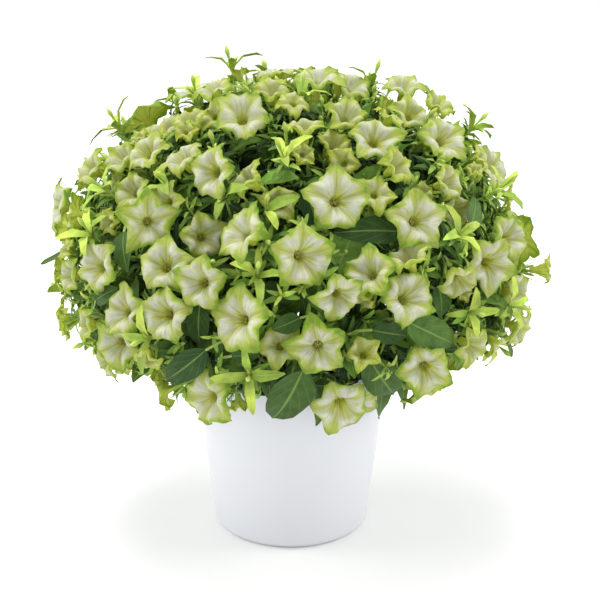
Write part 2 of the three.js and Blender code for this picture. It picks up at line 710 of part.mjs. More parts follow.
// Grows what build gives from the first free port of a shoot, in order of fit, where it has room.
function growOnShoot(shoot, target, leastFit, build) {
  return freePorts(shoot, target, leastFit).find((spot) => {
    const { tests, ...growth } = build(spot);
    if (!tests.every((solid) => isClear(solid))) return false;
    spot.port.growth = growth;
    if (!isSound(growShoot(shoot), shoot)) {
      spot.port.growth = null;
      return false;
    }
    tests.forEach((solid) => stand(solid, shoot));
    return true;
  });
}

// The rings of a tuft's bud, from the end of its twig.
function budRings(end, middle, lean, { length, bend, width }) {
  const side = towards(middle, end[0]);
  const way = along(lean, side, bend).normalize();
  return [
    evenRing(along(middle, way, length * 0.6), way, squareTo(way, side), width),
    [along(middle, way, length)],
  ];
}

function growTufts(stems, tufts) {
  for (const item of tufts) {
    const random = makeRandom(item.seed);
    const out = outwardAt(item.middle);
    const lean = out.clone().add(vector(random(-0.4, 0.4), random(-0.4, 0.4), random(0, 0.6))).normalize();
    const bud = { length: random(22, 34), bend: random(-0.2, 0.2), width: random(2.2, 3) };
    const shape = [0, 1, 2, 3].map(() => ({
      rise: random(0.2, 0.9), length: random(24, 36), breadth: random(0.3, 0.42), droop: random(0, 0.25),
    }));
    let shoot = null;
    let spot = null;
    nearestShoots(stems, item.middle).some((k) => {
      shoot = stems[k];
      spot = growOnShoot(shoot, item.middle, 0.2, (each) => {
        const rings = twigRings(each, item.middle, lean, [0.1, 0.5, 0.96, 1]);
        rings.push(...budRings(rings[3], item.middle, lean, bud));
        return { rings: rings.slice(1), blades: {}, tests: [solidOfRings(rings)] };
      });
      return spot;
    });
    if (!spot) continue;
    const end = spot.port.growth.rings[2];
    const blades = [null, null, null, null];
    spot.port.growth.blades[2] = blades;
    shape.slice(0, item.leaves).forEach(({ rise, length, breadth, droop }, i) => {
      const away = towards(item.middle, mix(end[i], end[(i + 1) % 4], 0.5));
      const direction = along(away, lean, rise).normalize();
      const blade = {
        root: item.middle, direction, upper: squareTo(direction, lean), length,
        width: length * breadth, arch: 0.1, droop, fold: 0.3, broad: false,
      };
      if (!isClear(makeBlade(blade), shoot)) return;
      blades[i] = bladeRings(blade);
      if (!isSound(growShoot(shoot), shoot)) {
        blades[i] = null;
        return;
      }
      stand(makeBlade(blade), shoot);
    });
  }
}

function growStemLeaves(stems) {
  stems.forEach((shoot, k) => {
    let left = stem.leaves;
    [...shoot.knots].reverse().forEach((knot, row) => {
      knot.ports.forEach((port, i) => {
        if (left === 0 || port.growth) return;
        const random = makeRandom(4000 + k * 40 + row * 4 + i);
        const length = random(48, 66);
        const rise = random(0.3, 0.9);
        const direction = along(along(port.way, knot.tangent, rise), shoot.out, 0.3).normalize();
        const blade = {
          root: port.middle, direction, upper: squareTo(direction, along(shoot.out, skyward, 0.7)), length,
          width: length * random(0.5, 0.6), arch: 0.1, droop: random(0.05, 0.3), fold: 0.15, broad: true,
        };
        if (!isClear(makeBlade(blade))) return;
        port.growth = { rings: bladeRings(blade) };
        if (!isSound(growShoot(shoot), shoot)) {
          port.growth = null;
          return;
        }
        stand(makeBlade(blade), shoot);
        left--;
      });
    });
  });
}

const potSolid = makePot();
const shoots = layOutShoots();
const soilSolid = makeSoil(shoots);
stand(potSolid);
stand(soilSolid);
const stems = shoots.map(layOutStem);
stems.forEach((each) => stand(each.solid, each));
const blooms = layOutBlooms();
const sprays = placeBlooms(stems, blooms);
growBroadLeaves(stems);
growTufts(stems, layOutTufts(blooms));
growStemLeaves(stems);

// The finished group ----------------------------------------------------------------------------

const finishes = {
  pot: new THREE.MeshStandardMaterial({ color: 0xe9eaee, roughness: 0.6, metalness: 0 }),
  soil: new THREE.MeshStandardMaterial({ color: 0x3a2a1e, roughness: 0.95, metalness: 0 }),
  shoot: new THREE.MeshStandardMaterial({ color: 0x4f7d2c, roughness: 0.6, metalness: 0 }),
  blooms: new THREE.MeshStandardMaterial({ color: 0xdfe2b4, roughness: 0.55, metalness: 0 }),
};

function meshOf(name, solid) {
  const { vertProperties, triVerts } = solid.getMesh();
  const geometry = new THREE.BufferGeometry();
  geometry.setAttribute('position', new THREE.BufferAttribute(vertProperties, 3));
  geometry.setIndex(new THREE.BufferAttribute(triVerts, 1));
  geometry.computeVertexNormals();
  const mesh = new THREE.Mesh(geometry, finishes[name.split('_')[0]].clone());
  mesh.name = name;
  return mesh;
}

const group = new THREE.Group();
const numbered = (name, k) => `${name}_${String(k + 1).padStart(2, '0')}`;
group.add(meshOf('pot', potSolid), meshOf('soil', soilSolid));
stems.forEach((each, k) => {
  group.add(meshOf(numbered('shoot', k), solidOf(geometryOf(growShoot(each)))));
  group.add(meshOf(numbered('blooms', k), solidOf(geometryOf(growSpray(each, sprays[k])))));
});

export default group;
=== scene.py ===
import math
from functools import partial

import bmesh
import bpy
import numpy as np
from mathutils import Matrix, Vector
from mathutils.kdtree import KDTree


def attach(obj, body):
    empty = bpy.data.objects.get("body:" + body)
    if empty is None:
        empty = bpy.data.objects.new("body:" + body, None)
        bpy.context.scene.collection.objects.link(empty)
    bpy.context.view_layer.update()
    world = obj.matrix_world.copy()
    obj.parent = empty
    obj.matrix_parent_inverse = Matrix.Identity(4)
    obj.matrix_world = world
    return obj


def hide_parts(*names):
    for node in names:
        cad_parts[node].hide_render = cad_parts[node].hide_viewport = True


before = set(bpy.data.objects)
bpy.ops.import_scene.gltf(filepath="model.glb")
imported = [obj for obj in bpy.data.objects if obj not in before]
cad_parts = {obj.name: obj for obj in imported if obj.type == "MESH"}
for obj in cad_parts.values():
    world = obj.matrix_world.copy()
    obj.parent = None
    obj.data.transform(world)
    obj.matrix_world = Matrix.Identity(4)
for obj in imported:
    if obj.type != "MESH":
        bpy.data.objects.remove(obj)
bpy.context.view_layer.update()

print("frame loaded:", len(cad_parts), "solids")
bpy.ops.object.select_all(action="DESELECT")
mm = 0.001
up = np.array([0.0, 0.0, 1.0])
goldenAngle = math.pi * (3 - math.sqrt(5))

# the dome that the blooms reach, as the part's source has it
dome = {"middle": 270 * mm, "spread": 245 * mm, "rise": 205 * mm, "drop": 115 * mm, "lowerPower": 2.8}


# A random source of its own for each seed, so that every run draws the same numbers.
def randomFor(*seed):
    return np.random.default_rng(seed)


def unit(v):
    v = np.asarray(v, float)
    return v / max(np.linalg.norm(v), 1e-12)


def lengthsOf(rows):
    return np.linalg.norm(rows, axis=1)


def unitRows(rows):
    return rows / np.maximum(lengthsOf(rows), 1e-9)[:, None]


# The part of hint that is square to way.
def squareTo(way, hint):
    hint = np.asarray(hint, float)
    rest = hint - way * np.dot(hint, way)
    if np.linalg.norm(rest) < 1e-6:
        rest = np.cross(way, [0.31, 0.87, 0.2])
    return unit(rest)


# The direction square to way at a turn round it.
def spokeAt(way, turn):
    side = squareTo(way, up)
    return side * math.cos(turn) + np.cross(way, side) * math.sin(turn)


def domePoint(azimuth, height, inset):
    out = math.sqrt(1 - height * height)
    power = 2 if height > 0 else dome["lowerPower"]
    tall = (dome["rise"] if height > 0 else dome["drop"]) - inset
    reach = ((out / (dome["spread"] - inset)) ** power + (abs(height) / tall) ** power) ** (-1 / power)
    side = [math.cos(azimuth) * out * reach, math.sin(azimuth) * out * reach]
    return np.array([*side, dome["middle"] + height * reach])


def outwardAt(point):
    above = point[2] - dome["middle"]
    tall = dome["rise"] if above > 0 else dome["drop"] * 1.3
    return unit([point[0] / dome["spread"] ** 2, point[1] / dome["spread"] ** 2, above / tall ** 2])


# How far a point lies inside the dome's surface, roughly, in metres.
def insetOf(point):
    above = point[2] - dome["middle"]
    power = 2 if above > 0 else dome["lowerPower"]
    tall = dome["rise"] if above > 0 else dome["drop"]
    out = math.hypot(point[0], point[1]) / dome["spread"]
    return (1 - (out ** power + (abs(above) / tall) ** power) ** (1 / power)) * dome["spread"]


# sRGB hex to the linear numbers that the sockets take
def linear(hexColour):
    shares = [int(hexColour[i:i + 2], 16) / 255 for i in (0, 2, 4)]
    return (*[c / 12.92 if c <= 0.04045 else ((c + 0.055) / 1.055) ** 2.4 for c in shares], 1)


# Adds one node. Its inputs stand in order, or in a dictionary by name or number. Each is a value, a hex
# colour, a socket, or a node, which stands for its first output in use.
def addNode(tree, kind, *inputs, **settings):
    node = tree.nodes.new("ShaderNode" + kind)
    for name, value in settings.items():
        setattr(node, name, value)
    given = inputs[0] if inputs and isinstance(inputs[0], dict) else dict(enumerate(inputs))
    for name, value in given.items():
        if isinstance(value, bpy.types.Node):
            value = next(socket for socket in value.outputs if socket.enabled)
        if isinstance(value, bpy.types.NodeSocket):
            tree.links.new(value, node.inputs[name])
        else:
            node.inputs[name].default_value = linear(value) if isinstance(value, str) else value
    return node


# Sets a colour ramp's stops, each a place and the name of a colour in look.
def setRamp(node, look, *stops):
    elements = node.color_ramp.elements
    while len(elements) > 1:
        elements.remove(elements[0])
    for k, (place, colour) in enumerate(stops):
        element = elements[0] if k == 0 else elements.new(place)
        element.position = place
        element.color = linear(look[colour])
    return node


# A new material, and addNode for its own nodes.
def newFinish(name):
    finish = bpy.data.materials.new(name)
    finish.use_nodes = True
    finish.node_tree.nodes.clear()
    return finish, partial(addNode, finish.node_tree)


# The last nodes of a finish: its relief, its surface, and the light that comes through a thin one.
def endFinish(add, look, colour, height=None, **surface):
    if height is not None:
        strength, depth = look["relief"]
        surface["Normal"] = add("Bump", {"Height": height, "Strength": strength, "Distance": depth})
    face = add("BsdfPrincipled", {"Base Color": colour, **look["surface"], **surface})
    if "through" in look:
        face = add("MixShader", look["through"], face, add("BsdfTranslucent", {"Color": colour}))
    add("OutputMaterial", face)


# Petunia petal: thin living tissue with a soft velvety face, so light also comes through from behind.
# Creamy white between five yellow-green ribs, lime at the margins and tips, olive yellow in the throat.
petalLook = {
    "throatDeep": "b0b53c", "throat": "cbcb58", "throatPale": "d3d695", "cream": "d5d7b9", "white": "dedfd5",
    "margin": "bfcc66", "lime": "9cb93c", "tip": "7ea52c", "rib": "c6cd6e", "ribLine": "a7ad4c",
    "young": "c8d04e", "through": 0.45, "relief": (0.6, 0.6 * mm),
    "veins": (17, 2.2, 9),  # across a lobe, along it, and how far apart one bloom's are from the next one's
    "patches": (1, 1, 30), "patchScale": 2.4,
    "surface": {"Roughness": 0.6, "Sheen Weight": 0.1, "Specular IOR Level": 0.2},
}


def makePetalFront(look):
    finish, add = newFinish("petuniaPetalFace")
    lobe, out, _ = add("SeparateXYZ", add("UVMap", uv_map="form")).outputs
    shade, youth, _ = add("SeparateXYZ", add("UVMap", uv_map="tone")).outputs
    rib = add("Math", lobe, 0.5, operation="PINGPONG")  # 0 where two lobes join, 0.5 on a lobe's rib
    # fine veins that fan out from the throat, about 1.5 mm apart at the margin
    fan = add("CombineXYZ", lobe, out, shade)
    stretched = add("VectorMath", fan, look["veins"], operation="MULTIPLY")
    veins = add("TexNoise", {"Vector": stretched, "Scale": 1, "Detail": 1.5})
    # the green reaches in unevenly from the margin, further along the ribs, and more on some blooms
    spread = add("VectorMath", fan, look["patches"], operation="MULTIPLY")
    patch = add("TexNoise", {"Vector": spread, "Scale": look["patchScale"], "Detail": 2})
    ribReach = add("Math", add("MapRange", rib, 0.1, 0.5, -0.04, 0.19),
                   add("MapRange", shade, 0, 1, -0.04, 0.12), operation="ADD")
    reached = out
    for more in (add("MapRange", patch, 0.3, 0.7, -0.17, 0.17),
                 add("MapRange", veins, 0.3, 0.7, -0.07, 0.07), ribReach):
        reached = add("Math", reached, more, operation="ADD")
    colour = setRamp(add("ValToRGB", reached), look,
                     (0, "throatDeep"), (0.16, "throat"), (0.28, "throatPale"), (0.38, "cream"),
                     (0.54, "white"), (0.76, "cream"), (0.89, "margin"), (1, "lime"))
    masks = {
        # a soft green band along each rib, which runs out into the green tip, with a thin line in its middle
        "rib": add("MapRange", rib, 0.2, 0.5, 0, 0.8, interpolation_type="SMOOTHSTEP"),
        "ribLine": add("MapRange", rib, 0.455, 0.49, 0, 0.45),
        "tip": add("MapRange", reached, 1, 1.16, 0, 0.8, interpolation_type="SMOOTHSTEP"),
        "young": add("MapRange", youth, 0, 1, 0, 0.6),
    }
    for tint, mask in masks.items():
        colour = add("Mix", {0: mask, 6: colour, 7: look[tint]}, data_type="RGBA")
    veinTone = add("MapRange", veins, 0.3, 0.7, 0.8, 1.08)
    endFinish(add, look, add("VectorMath", colour, veinTone, operation="MULTIPLY"), veins)
    return finish


# The outside of the corolla and its tube: yellow-green and matt, with darker green veins along the tube.
petalBackLook = {
    "tube": "d0d53e", "outer": "dae26c", "margin": "b2d046", "vein": "93ae36", "stripes": 3, "through": 0.45,
    "relief": (0.4, 0.4 * mm), "surface": {"Roughness": 0.6, "Sheen Weight": 0.1, "Specular IOR Level": 0.3},
}


def makePetalBack(look):
    finish, add = newFinish("petuniaPetalBack")
    lobe, out, _ = add("SeparateXYZ", add("UVMap", uv_map="form")).outputs
    rib = add("Math", lobe, 0.5, operation="PINGPONG")
    body = setRamp(add("ValToRGB", out), look, (0, "tube"), (0.32, "outer"), (0.75, "outer"), (1, "margin"))
    ribMask = add("MapRange", rib, 0.4, 0.5, 0, 0.7, interpolation_type="SMOOTHSTEP")
    # the stripes of a lobe fade out towards the margin
    striped = add("Math", lobe, look["stripes"], operation="MULTIPLY")
    stripe = add("Math", striped, 0.5, operation="PINGPONG")
    stripeMask = add("MapRange", stripe, 0.3, 0.5, 0, add("MapRange", out, 0.3, 0.9, 0.55, 0.1))
    most = add("Math", ribMask, stripeMask, operation="MAXIMUM")
    endFinish(add, look, add("Mix", {0: most, 6: body, 7: look["vein"]}, data_type="RGBA"), most)
    return finish


# Petunia leaf: soft and slightly sticky, dark green when full grown and lime when young, with a paler rib;
# the dark end also serves as painted shade on leaves deep in the dome.
# Its hairs are drawn coarser than they are, so that they show. 1000 / 90 * mm stands for 90 to a metre.
leafLook = {
    "dark": "29451c", "full": "72993c", "young": "a6c24f", "lime": "c3d15c", "vein": "7a9b4c",
    "youngVein": "c7d67c", "veinPairs": 6.5, "cloud": 1000 / 90 * mm, "hairSpacing": 0.9 * mm,
    "through": 0.2, "relief": (0.5, 0.5 * mm),
    "surface": {"Roughness": 0.5, "Sheen Weight": 0.02, "Specular IOR Level": 0.15},
}


def makeLeafFinish(look):
    finish, add = newFinish("petuniaLeaf")
    across, along, _ = add("SeparateXYZ", add("UVMap", uv_map="form")).outputs
    shade, youth, _ = add("SeparateXYZ", add("UVMap", uv_map="tone")).outputs
    spot = add("TexCoord").outputs["Object"]
    off = add("Math", add("Math", across, 0.5, operation="SUBTRACT"), operation="ABSOLUTE")
    # the ramp from dark to lime follows youth, which on leaves also carries painted shade: the deeper a leaf
    # lies, the darker
    grown = setRamp(add("ValToRGB", youth), look, (0, "dark"), (0.35, "full"), (0.75, "young"), (1, "lime"))
    # lighter and darker clouds over the leaves, and lighter and darker leaves
    cloud = add("TexNoise", {"Vector": spot, "Scale": 1 / look["cloud"], "Detail": 3})
    shades = add("Math", add("MapRange", cloud, 0.3, 0.7, 0.72, 1.25),
                 add("MapRange", shade, 0, 1, 0.72, 1.25), operation="MULTIPLY")
    body = add("VectorMath", grown, shades, operation="MULTIPLY")
    ribMask = add("MapRange", off, 0.012, 0.045, 0.65, 0)
    # side veins run forward from the rib towards the edge
    leaning = add("Math", off, -0.62, along, operation="MULTIPLY_ADD")
    spaced = add("Math", leaning, look["veinPairs"], operation="MULTIPLY")
    beat = add("Math", spaced, 0.5, operation="PINGPONG")
    most = add("Math", ribMask, add("MapRange", beat, 0.01, 0.07, 0.22, 0), operation="MAXIMUM")
    veinTone = add("Mix", {0: youth, 6: look["vein"], 7: look["youngVein"]}, data_type="RGBA")
    veined = add("Mix", {0: most, 6: body, 7: veinTone}, data_type="RGBA")
    hairs = add("TexNoise", {"Vector": spot, "Scale": 1 / look["hairSpacing"]})
    endFinish(add, look, veined, add("Math", most, -2.5, hairs, operation="MULTIPLY_ADD"))
    return finish


# Green stem skin: matt and finely haired, a little yellower towards the young ends.
stemLook = {
    "old": "7a9644", "young": "adc25d", "streak": 12 * mm, "hairSpacing": 1000 / 1100 * mm,
    "relief": (0.5, 0.4 * mm), "surface": {"Roughness": 0.6, "Sheen Weight": 0.2, "Specular IOR Level": 0.3},
}


def makeStemFinish(look):
    finish, add = newFinish("petuniaStem")
    _, youth, _ = add("SeparateXYZ", add("UVMap", uv_map="tone")).outputs
    spot = add("TexCoord").outputs["Object"]
    streak = add("TexNoise", {"Vector": spot, "Scale": 1 / look["streak"]})
    base = add("Mix", {0: youth, 6: look["old"], 7: look["young"]}, data_type="RGBA")
    body = add("VectorMath", base, add("MapRange", streak, 0.3, 0.7, 0.8, 1.15), operation="MULTIPLY")
    endFinish(add, look, body, add("TexNoise", {"Vector": spot, "Scale": 1 / look["hairSpacing"]}))
    return finish


# Furled bud: pleated petal tissue, lime with darker pleats that wind round it.
budLook = {
    "base": "8fae3c", "end": "c5d160", "pleat": "6f9231", "pleats": 5, "relief": (0.4, 0.4 * mm),
    "surface": {"Roughness": 0.55, "Sheen Weight": 0.15},
}


def makeBudFinish(look):
    finish, add = newFinish("petuniaBud")
    turn, along, _ = add("SeparateXYZ", add("UVMap", uv_map="form")).outputs
    body = setRamp(add("ValToRGB", along), look, (0, "base"), (0.5, "base"), (1, "end"))
    winding = add("Math", turn, look["pleats"], along, operation="MULTIPLY_ADD")
    mask = add("MapRange", add("Math", winding, 0.5, operation="PINGPONG"), 0, 0.22, 0.7, 0)
    endFinish(add, look, add("Mix", {0: mask, 6: body, 7: look["pleat"]}, data_type="RGBA"), mask)
    return finish


# Injection-moulded polypropylene: a white satin wall with a faint orange-peel from the mould.
potLook = {
    "colour": "d3d5da", "shade": "cbcdd2", "cloud": 1000 / 7 * mm, "peel": 2.2 * mm, "worn": (0.38, 0.5),
    "relief": (0.06, 0.3 * mm), "surface": {"IOR": 1.49},
}


def makePotFinish(look):
    finish, add = newFinish("mouldedPolypropylene")
    spot = add("TexCoord").outputs["Object"]
    cloud = add("TexNoise", {"Vector": spot, "Scale": 1 / look["cloud"], "Detail": 3})
    body = add("Mix", {0: cloud, 6: look["colour"], 7: look["shade"]}, data_type="RGBA")
    peel = add("TexNoise", {"Vector": spot, "Scale": 1 / look["peel"], "Detail": 2})
    endFinish(add, look, body, peel, Roughness=add("MapRange", cloud, 0.35, 0.65, *look["worn"]))
    return finish


# Anthers: powdery, olive with pale yellow pollen.
antherLook = {"dark": "8a8434", "light": "d3cb70", "grain": 1000 / 900 * mm, "surface": {"Roughness": 0.85}}

# Moist peat and bark: dark, crumbly and quite dull, with white perlite grains in it.
soilLook = {
    "dark": "1d140e", "light": "4a3526", "grain": 4 * mm, "noise": {"Detail": 6, "Roughness": 0.65},
    "relief": (0.9, 2 * mm), "surface": {"Roughness": 0.95},
}
perliteLook = {"dark": "b9b3a6", "light": "e6e2da", "grain": 2 * mm, "surface": {"Roughness": 0.9}}


# A grainy finish that is mottled from dark to light, between two stops where they are given.
def makeGrainyFinish(name, look, stops=None):
    finish, add = newFinish(name)
    spot = add("TexCoord").outputs["Object"]
    grains = add("TexNoise", {"Vector": spot, "Scale": 1 / look["grain"], **look.get("noise", {})})
    if stops:
        body = setRamp(add("ValToRGB", grains), look, *stops)
    else:
        body = add("Mix", {0: grains, 6: look["dark"], 7: look["light"]}, data_type="RGBA")
    endFinish(add, look, body, grains if "relief" in look else None)
    return finish


finishes = {
    "petalFace": makePetalFront(petalLook), "petalBack": makePetalBack(petalBackLook),
    "leaf": makeLeafFinish(leafLook), "stem": makeStemFinish(stemLook), "bud": makeBudFinish(budLook),
    "anther": makeGrainyFinish("petuniaAnther", antherLook, [(0.35, "dark"), (0.65, "light")]),
    "pot": makePotFinish(potLook), "soil": makeGrainyFinish("pottingMix", soilLook),
    "perlite": makeGrainyFinish("perlite", perliteLook),
}
print("finishes made:", len(finishes))


# Starts a piece from a primitive, with nothing else selected.
def startPiece(primitive, **settings):
    bpy.ops.object.select_all(action="DESELECT")
    primitive(**settings)
    return bpy.context.active_object


# Starts a piece from a level disc, and selects its one face.
def startDisc(sides, radius, height=0):
    piece = startPiece(bpy.ops.mesh.primitive_circle_add, vertices=sides, radius=radius, fill_type="NGON",
                       location=(0, 0, height))
    bpy.ops.object.transform_apply(location=True)
    bpy.ops.object.mode_set(mode="EDIT")
    bpy.ops.mesh.select_mode(type="FACE")
    bpy.ops.mesh.select_all(action="SELECT")
    return piece


# Draws the selected face up by rise, and then wider by grown.
def drawUp(rise, grown=1, height=0):
    bpy.ops.mesh.extrude_region_move(TRANSFORM_OT_translate={"value": (0, 0, rise)})
    if grown != 1:
        bpy.ops.transform.resize(value=(grown, grown, 1), center_override=(0, 0, height))


def turnFacesOut():
    bpy.ops.mesh.select_all(action="SELECT")
    bpy.ops.mesh.normals_make_consistent(inside=False)
    bpy.ops.object.mode_set(mode="OBJECT")


# Takes a modelled shape apart into lists that its copies are built from. formOf gives each corner's place
# on the shape, for the pattern, and finishOf each face's finish.
def keepShape(piece, formOf, finishOf):
    points = np.array([v.co for v in piece.data.vertices])
    faces = [list(p.vertices) for p in piece.data.polygons]
    bpy.data.objects.remove(piece)
    return {
        "points": points, "corners": np.concatenate(faces), "sizes": np.array([len(f) for f in faces]),
        "form": np.concatenate([formOf(points[f]) for f in faces]),
        "finish": [finishOf(points[f]) for f in faces],
    }


flatDepth = 0.1  # petals and leaves are modelled flat and this thick, and each copy gets its real thickness


def thicken(piece):
    shell = piece.modifiers.new("thickness", "SOLIDIFY")
    shell.thickness = flatDepth
    shell.offset = -1
    bpy.ops.object.modifier_apply(modifier=shell.name)


# The corolla, modelled flat: the distance from the middle is the way out from the tube to the margin.
corolla = {
    "spokes": 60, "rings": [1, 0.955, 0.9, 0.82, 0.73, 0.63, 0.53, 0.44, 0.36, 0.28, 0.21, 0.14, 0.07],
    "throat": 0.28, "thickness": 0.5 * mm, "tubeRadius": 1.8 * mm, "groove": 1.3 * mm, "ruffle": 1.2 * mm,
    "reach": 1.2, "tipReach": (-0.05, 0.06), "shoulder": 0.09, "notchDepth": 0.1, "fullness": (0, 0.09),
    "shallow": 0.5, "flare": (3, 4.6), "curl": 0.4, "seed": 31,
}


def modelCorolla():
    piece = startDisc(corolla["spokes"], 1)
    firstAngle = math.atan2(piece.data.vertices[0].co.y, piece.data.vertices[0].co.x)
    for wide, narrow in zip(corolla["rings"], corolla["rings"][1:]):
        bpy.ops.mesh.inset(thickness=(wide - narrow) * math.cos(math.pi / corolla["spokes"]), depth=0)
    bpy.ops.object.mode_set(mode="OBJECT")
    thicken(piece)

    # from 0 to 5 round the corolla, a whole number where two lobes join
    def lobeOf(places):
        lobe = ((np.arctan2(places[:, 1], places[:, 0]) - firstAngle) / (2 * math.pi)) % 1 * 5
        lobe[lobe > 4.999] = 0
        return lobe

    def formOf(corners):
        lobe = lobeOf(corners)
        if lobe.max() - lobe.min() > 2.5:
            lobe[lobe < 1] += 5
        return np.column_stack([lobe, np.hypot(corners[:, 0], corners[:, 1])])

    shape = keepShape(piece, formOf, lambda f: "petalBack" if f[:, 2].max() < -flatDepth / 2 else "petalFace")
    x, y, z = shape["points"].T
    return {**shape, "lobe": lobeOf(shape["points"]), "out": np.hypot(x, y), "back": z < -flatDepth / 2}


# A blade, modelled flat: across from -1 to 1, and along from -1 at the foot to 1 at the tip.
def modelBlade(columns, rows):
    piece = startPiece(bpy.ops.mesh.primitive_grid_add, x_subdivisions=columns, y_subdivisions=rows, size=2)
    thicken(piece)
    return keepShape(piece, lambda f: f[:, :2] * 0.5 + 0.5, lambda f: "leaf")


# A rod, modelled upright from 0 to 1: a disc drawn up row by row.
def modelRod(sides, rows, finish):
    piece = startDisc(sides, 1)
    for row in range(rows):
        drawUp(1 / rows)
    turnFacesOut()

    def formOf(corners):
        turn = np.arctan2(corners[:, 1], corners[:, 0]) / (2 * math.pi) % 1
        if turn.max() - turn.min() > 0.5:
            turn[turn < 0.5] += 1
        return np.column_stack([turn, corners[:, 2]])

    return keepShape(piece, formOf, lambda f: finish)


def modelGrain(finish):
    piece = startPiece(bpy.ops.mesh.primitive_ico_sphere_add, subdivisions=1, radius=1)
    return keepShape(piece, lambda f: f[:, :2] * 0.5 + 0.5, lambda f: finish)


corollaShape = modelCorolla()
broadBlade, plainBlade, youngBlade = modelBlade(6, 9), modelBlade(2, 6), modelBlade(2, 4)
stemRod, twigRod, budRod = modelRod(8, 14, "stem"), modelRod(6, 6, "stem"), modelRod(8, 6, "bud")
antherGrain, crumbGrain, perliteGrain = modelGrain("anther"), modelGrain("soil"), modelGrain("perlite")
print("shapes modelled")


# Joins copies of the kept shapes into one piece. Each copy is (shape, points, shade, youth).
def assemble(name, copies):
    shapes, places = [c[0] for c in copies], [c[1] for c in copies]
    used = sorted({f for shape in shapes for f in shape["finish"]})
    starts = np.cumsum([0] + [len(p) for p in places[:-1]])
    corners = np.concatenate([shape["corners"] + start for shape, start in zip(shapes, starts)])
    sizes = np.concatenate([shape["sizes"] for shape in shapes])
    form = np.concatenate([shape["form"] for shape in shapes])
    tone = np.concatenate([np.tile([c[2], c[3]], (len(c[0]["form"]), 1)) for c in copies])
    mesh = bpy.data.meshes.new(name)
    mesh.vertices.add(sum(len(p) for p in places))
    mesh.vertices.foreach_set("co", np.concatenate(places).astype(np.float32).ravel())
    mesh.loops.add(len(corners))
    mesh.loops.foreach_set("vertex_index", corners.astype(np.int32))
    mesh.polygons.add(len(sizes))
    mesh.polygons.foreach_set("loop_start", np.concatenate([[0], np.cumsum(sizes)[:-1]]).astype(np.int32))
    mesh.polygons.foreach_set("loop_total", sizes.astype(np.int32))
    for layerName, values in (("form", form), ("tone", tone)):
        layer = mesh.uv_layers.new(name=layerName)
        layer.data.foreach_set("uv", values.astype(np.float32).ravel())
    for finish in used:
        mesh.materials.append(finishes[finish])
    chosen = [used.index(f) for shape in shapes for f in shape["finish"]]
    mesh.polygons.foreach_set("material_index", np.array(chosen, np.int32))
    mesh.polygons.foreach_set("use_smooth", np.ones(len(sizes), bool))
    mesh.update()
    mesh.validate()
    mesh.set_sharp_from_angle(angle=math.radians(60))
    piece = bpy.data.objects.new(name, mesh)
    bpy.context.scene.collection.objects.link(piece)
    return piece


# Reading the solids: a solid's skin as points and each point's neighbours, so that its rings can be
# followed from a tip down to the stem that they grew from.
def readSkin(node):
    skin = bmesh.new()
    skin.from_mesh(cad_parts[node].data)
    bmesh.ops.remove_doubles(skin, verts=skin.verts, dist=0.002 * mm)
    skin.verts.index_update()
    points = np.array([v.co for v in skin.verts])
    near = [{e.other_vert(v).index for e in v.link_edges} for v in skin.verts]
    skin.free()
    return points, near


def beyond(near, ring, seen):
    return set().union(*(near[i] for i in ring)) - seen


# The unit vector square to a flat ring, on the side of hint.
def ringWay(ringPoints, hint):
    way = np.linalg.svd(ringPoints - ringPoints.mean(0))[2][2]
    return way if np.dot(way, hint) > 0 else -way


# points in each ring of a solid trumpet, from its middle: the throat, the rim, the rim's back, the throat's
# back, the end of the tube, and half way down the stalk
trumpetRings = (5, 10, 10, 5, 4, 4)


def readBlooms(node):
    points, near = readSkin(node)
    found, taken = [], set()
    for apex in [i for i, around in enumerate(near) if len(around) == trumpetRings[0]]:
        rings, seen = [{apex}], {apex}
        for count in trumpetRings:
            ring = beyond(near, rings[-1], seen)
            if len(ring) != count:
                break
            rings.append(ring)
            seen |= ring
        if len(rings) <= len(trumpetRings):
            continue
        taken |= seen
        throat, rim, tubeEnd, half = (points[sorted(rings[k])] for k in (1, 2, 5, 6))
        facing = unit(throat.mean(0) - points[apex])
        root = points[sorted(beyond(near, rings[6], seen))].mean(0)
        # the rim's points in their order round the bloom, a notch first
        side = squareTo(facing, rim[0] - points[apex])
        spread = rim - points[apex]
        order = np.argsort(np.arctan2(spread @ np.cross(facing, side), spread @ side))
        lengths = lengthsOf(spread[order] - np.outer(spread[order] @ facing, facing))
        rim = np.roll(rim[order], 0 if lengths[0::2].mean() < lengths[1::2].mean() else -1, axis=0)
        found.append({
            "apex": points[apex], "facing": facing, "notches": rim[0::2], "tips": rim[1::2],
            "throatRadius": lengthsOf(throat - throat.mean(0)).mean(), "throat": throat.mean(0),
            "radius": lengths.max(), "middle": rim[0::2].mean(0), "root": root, "tubeEnd": tubeEnd.mean(0),
            "half": half.mean(0), "halfWay": ringWay(half, tubeEnd.mean(0) - root),
        })
    return found, points[[i for i in range(len(points)) if i not in taken]].mean(0)


# A blade's place: its foot, the two parts of its bent spine, its side, width and upper face.
def bladeFrom(foot, rows, tip, hint):
    row = rows[-1]
    broad = len(row) == 6
    order = np.argsort(row @ np.linalg.svd(row - row.mean(0))[2][0])
    low, high = row[order[:2]].mean(0), row[order[-2:]].mean(0)
    side = unit(high - low)
    if broad:
        share, mark = 0.34, row[order[2:4]].mean(0)
        upper = squareTo(side, (low + high) / 2 - mark)
    else:
        share, mark = 0.5, (low + high) / 2
        thin = row[order[0]] - row[order[1]]
        upper = squareTo(side, thin if np.dot(thin, hint) > 0 else -thin)
    # the spine is foot + run * share + bend * share squared
    run, bend = np.linalg.solve([[share, share * share], [1, 1]], [mark - foot, tip - foot])
    return {"foot": foot, "run": run, "bend": bend, "side": side, "upper": upper, "broad": broad,
            "width": np.linalg.norm(high - low) * (1 if broad else 0.85)}


# What tells the parts of a solid shoot apart: the edges at a tip are longer than tipEdge, a blade is thinner
# than bladeEdge, and a twig is slimmer than twigRadius.
shootSigns = {"tipEdge": 6.5 * mm, "bladeEdge": 1.5 * mm, "twigRadius": 2 * mm}


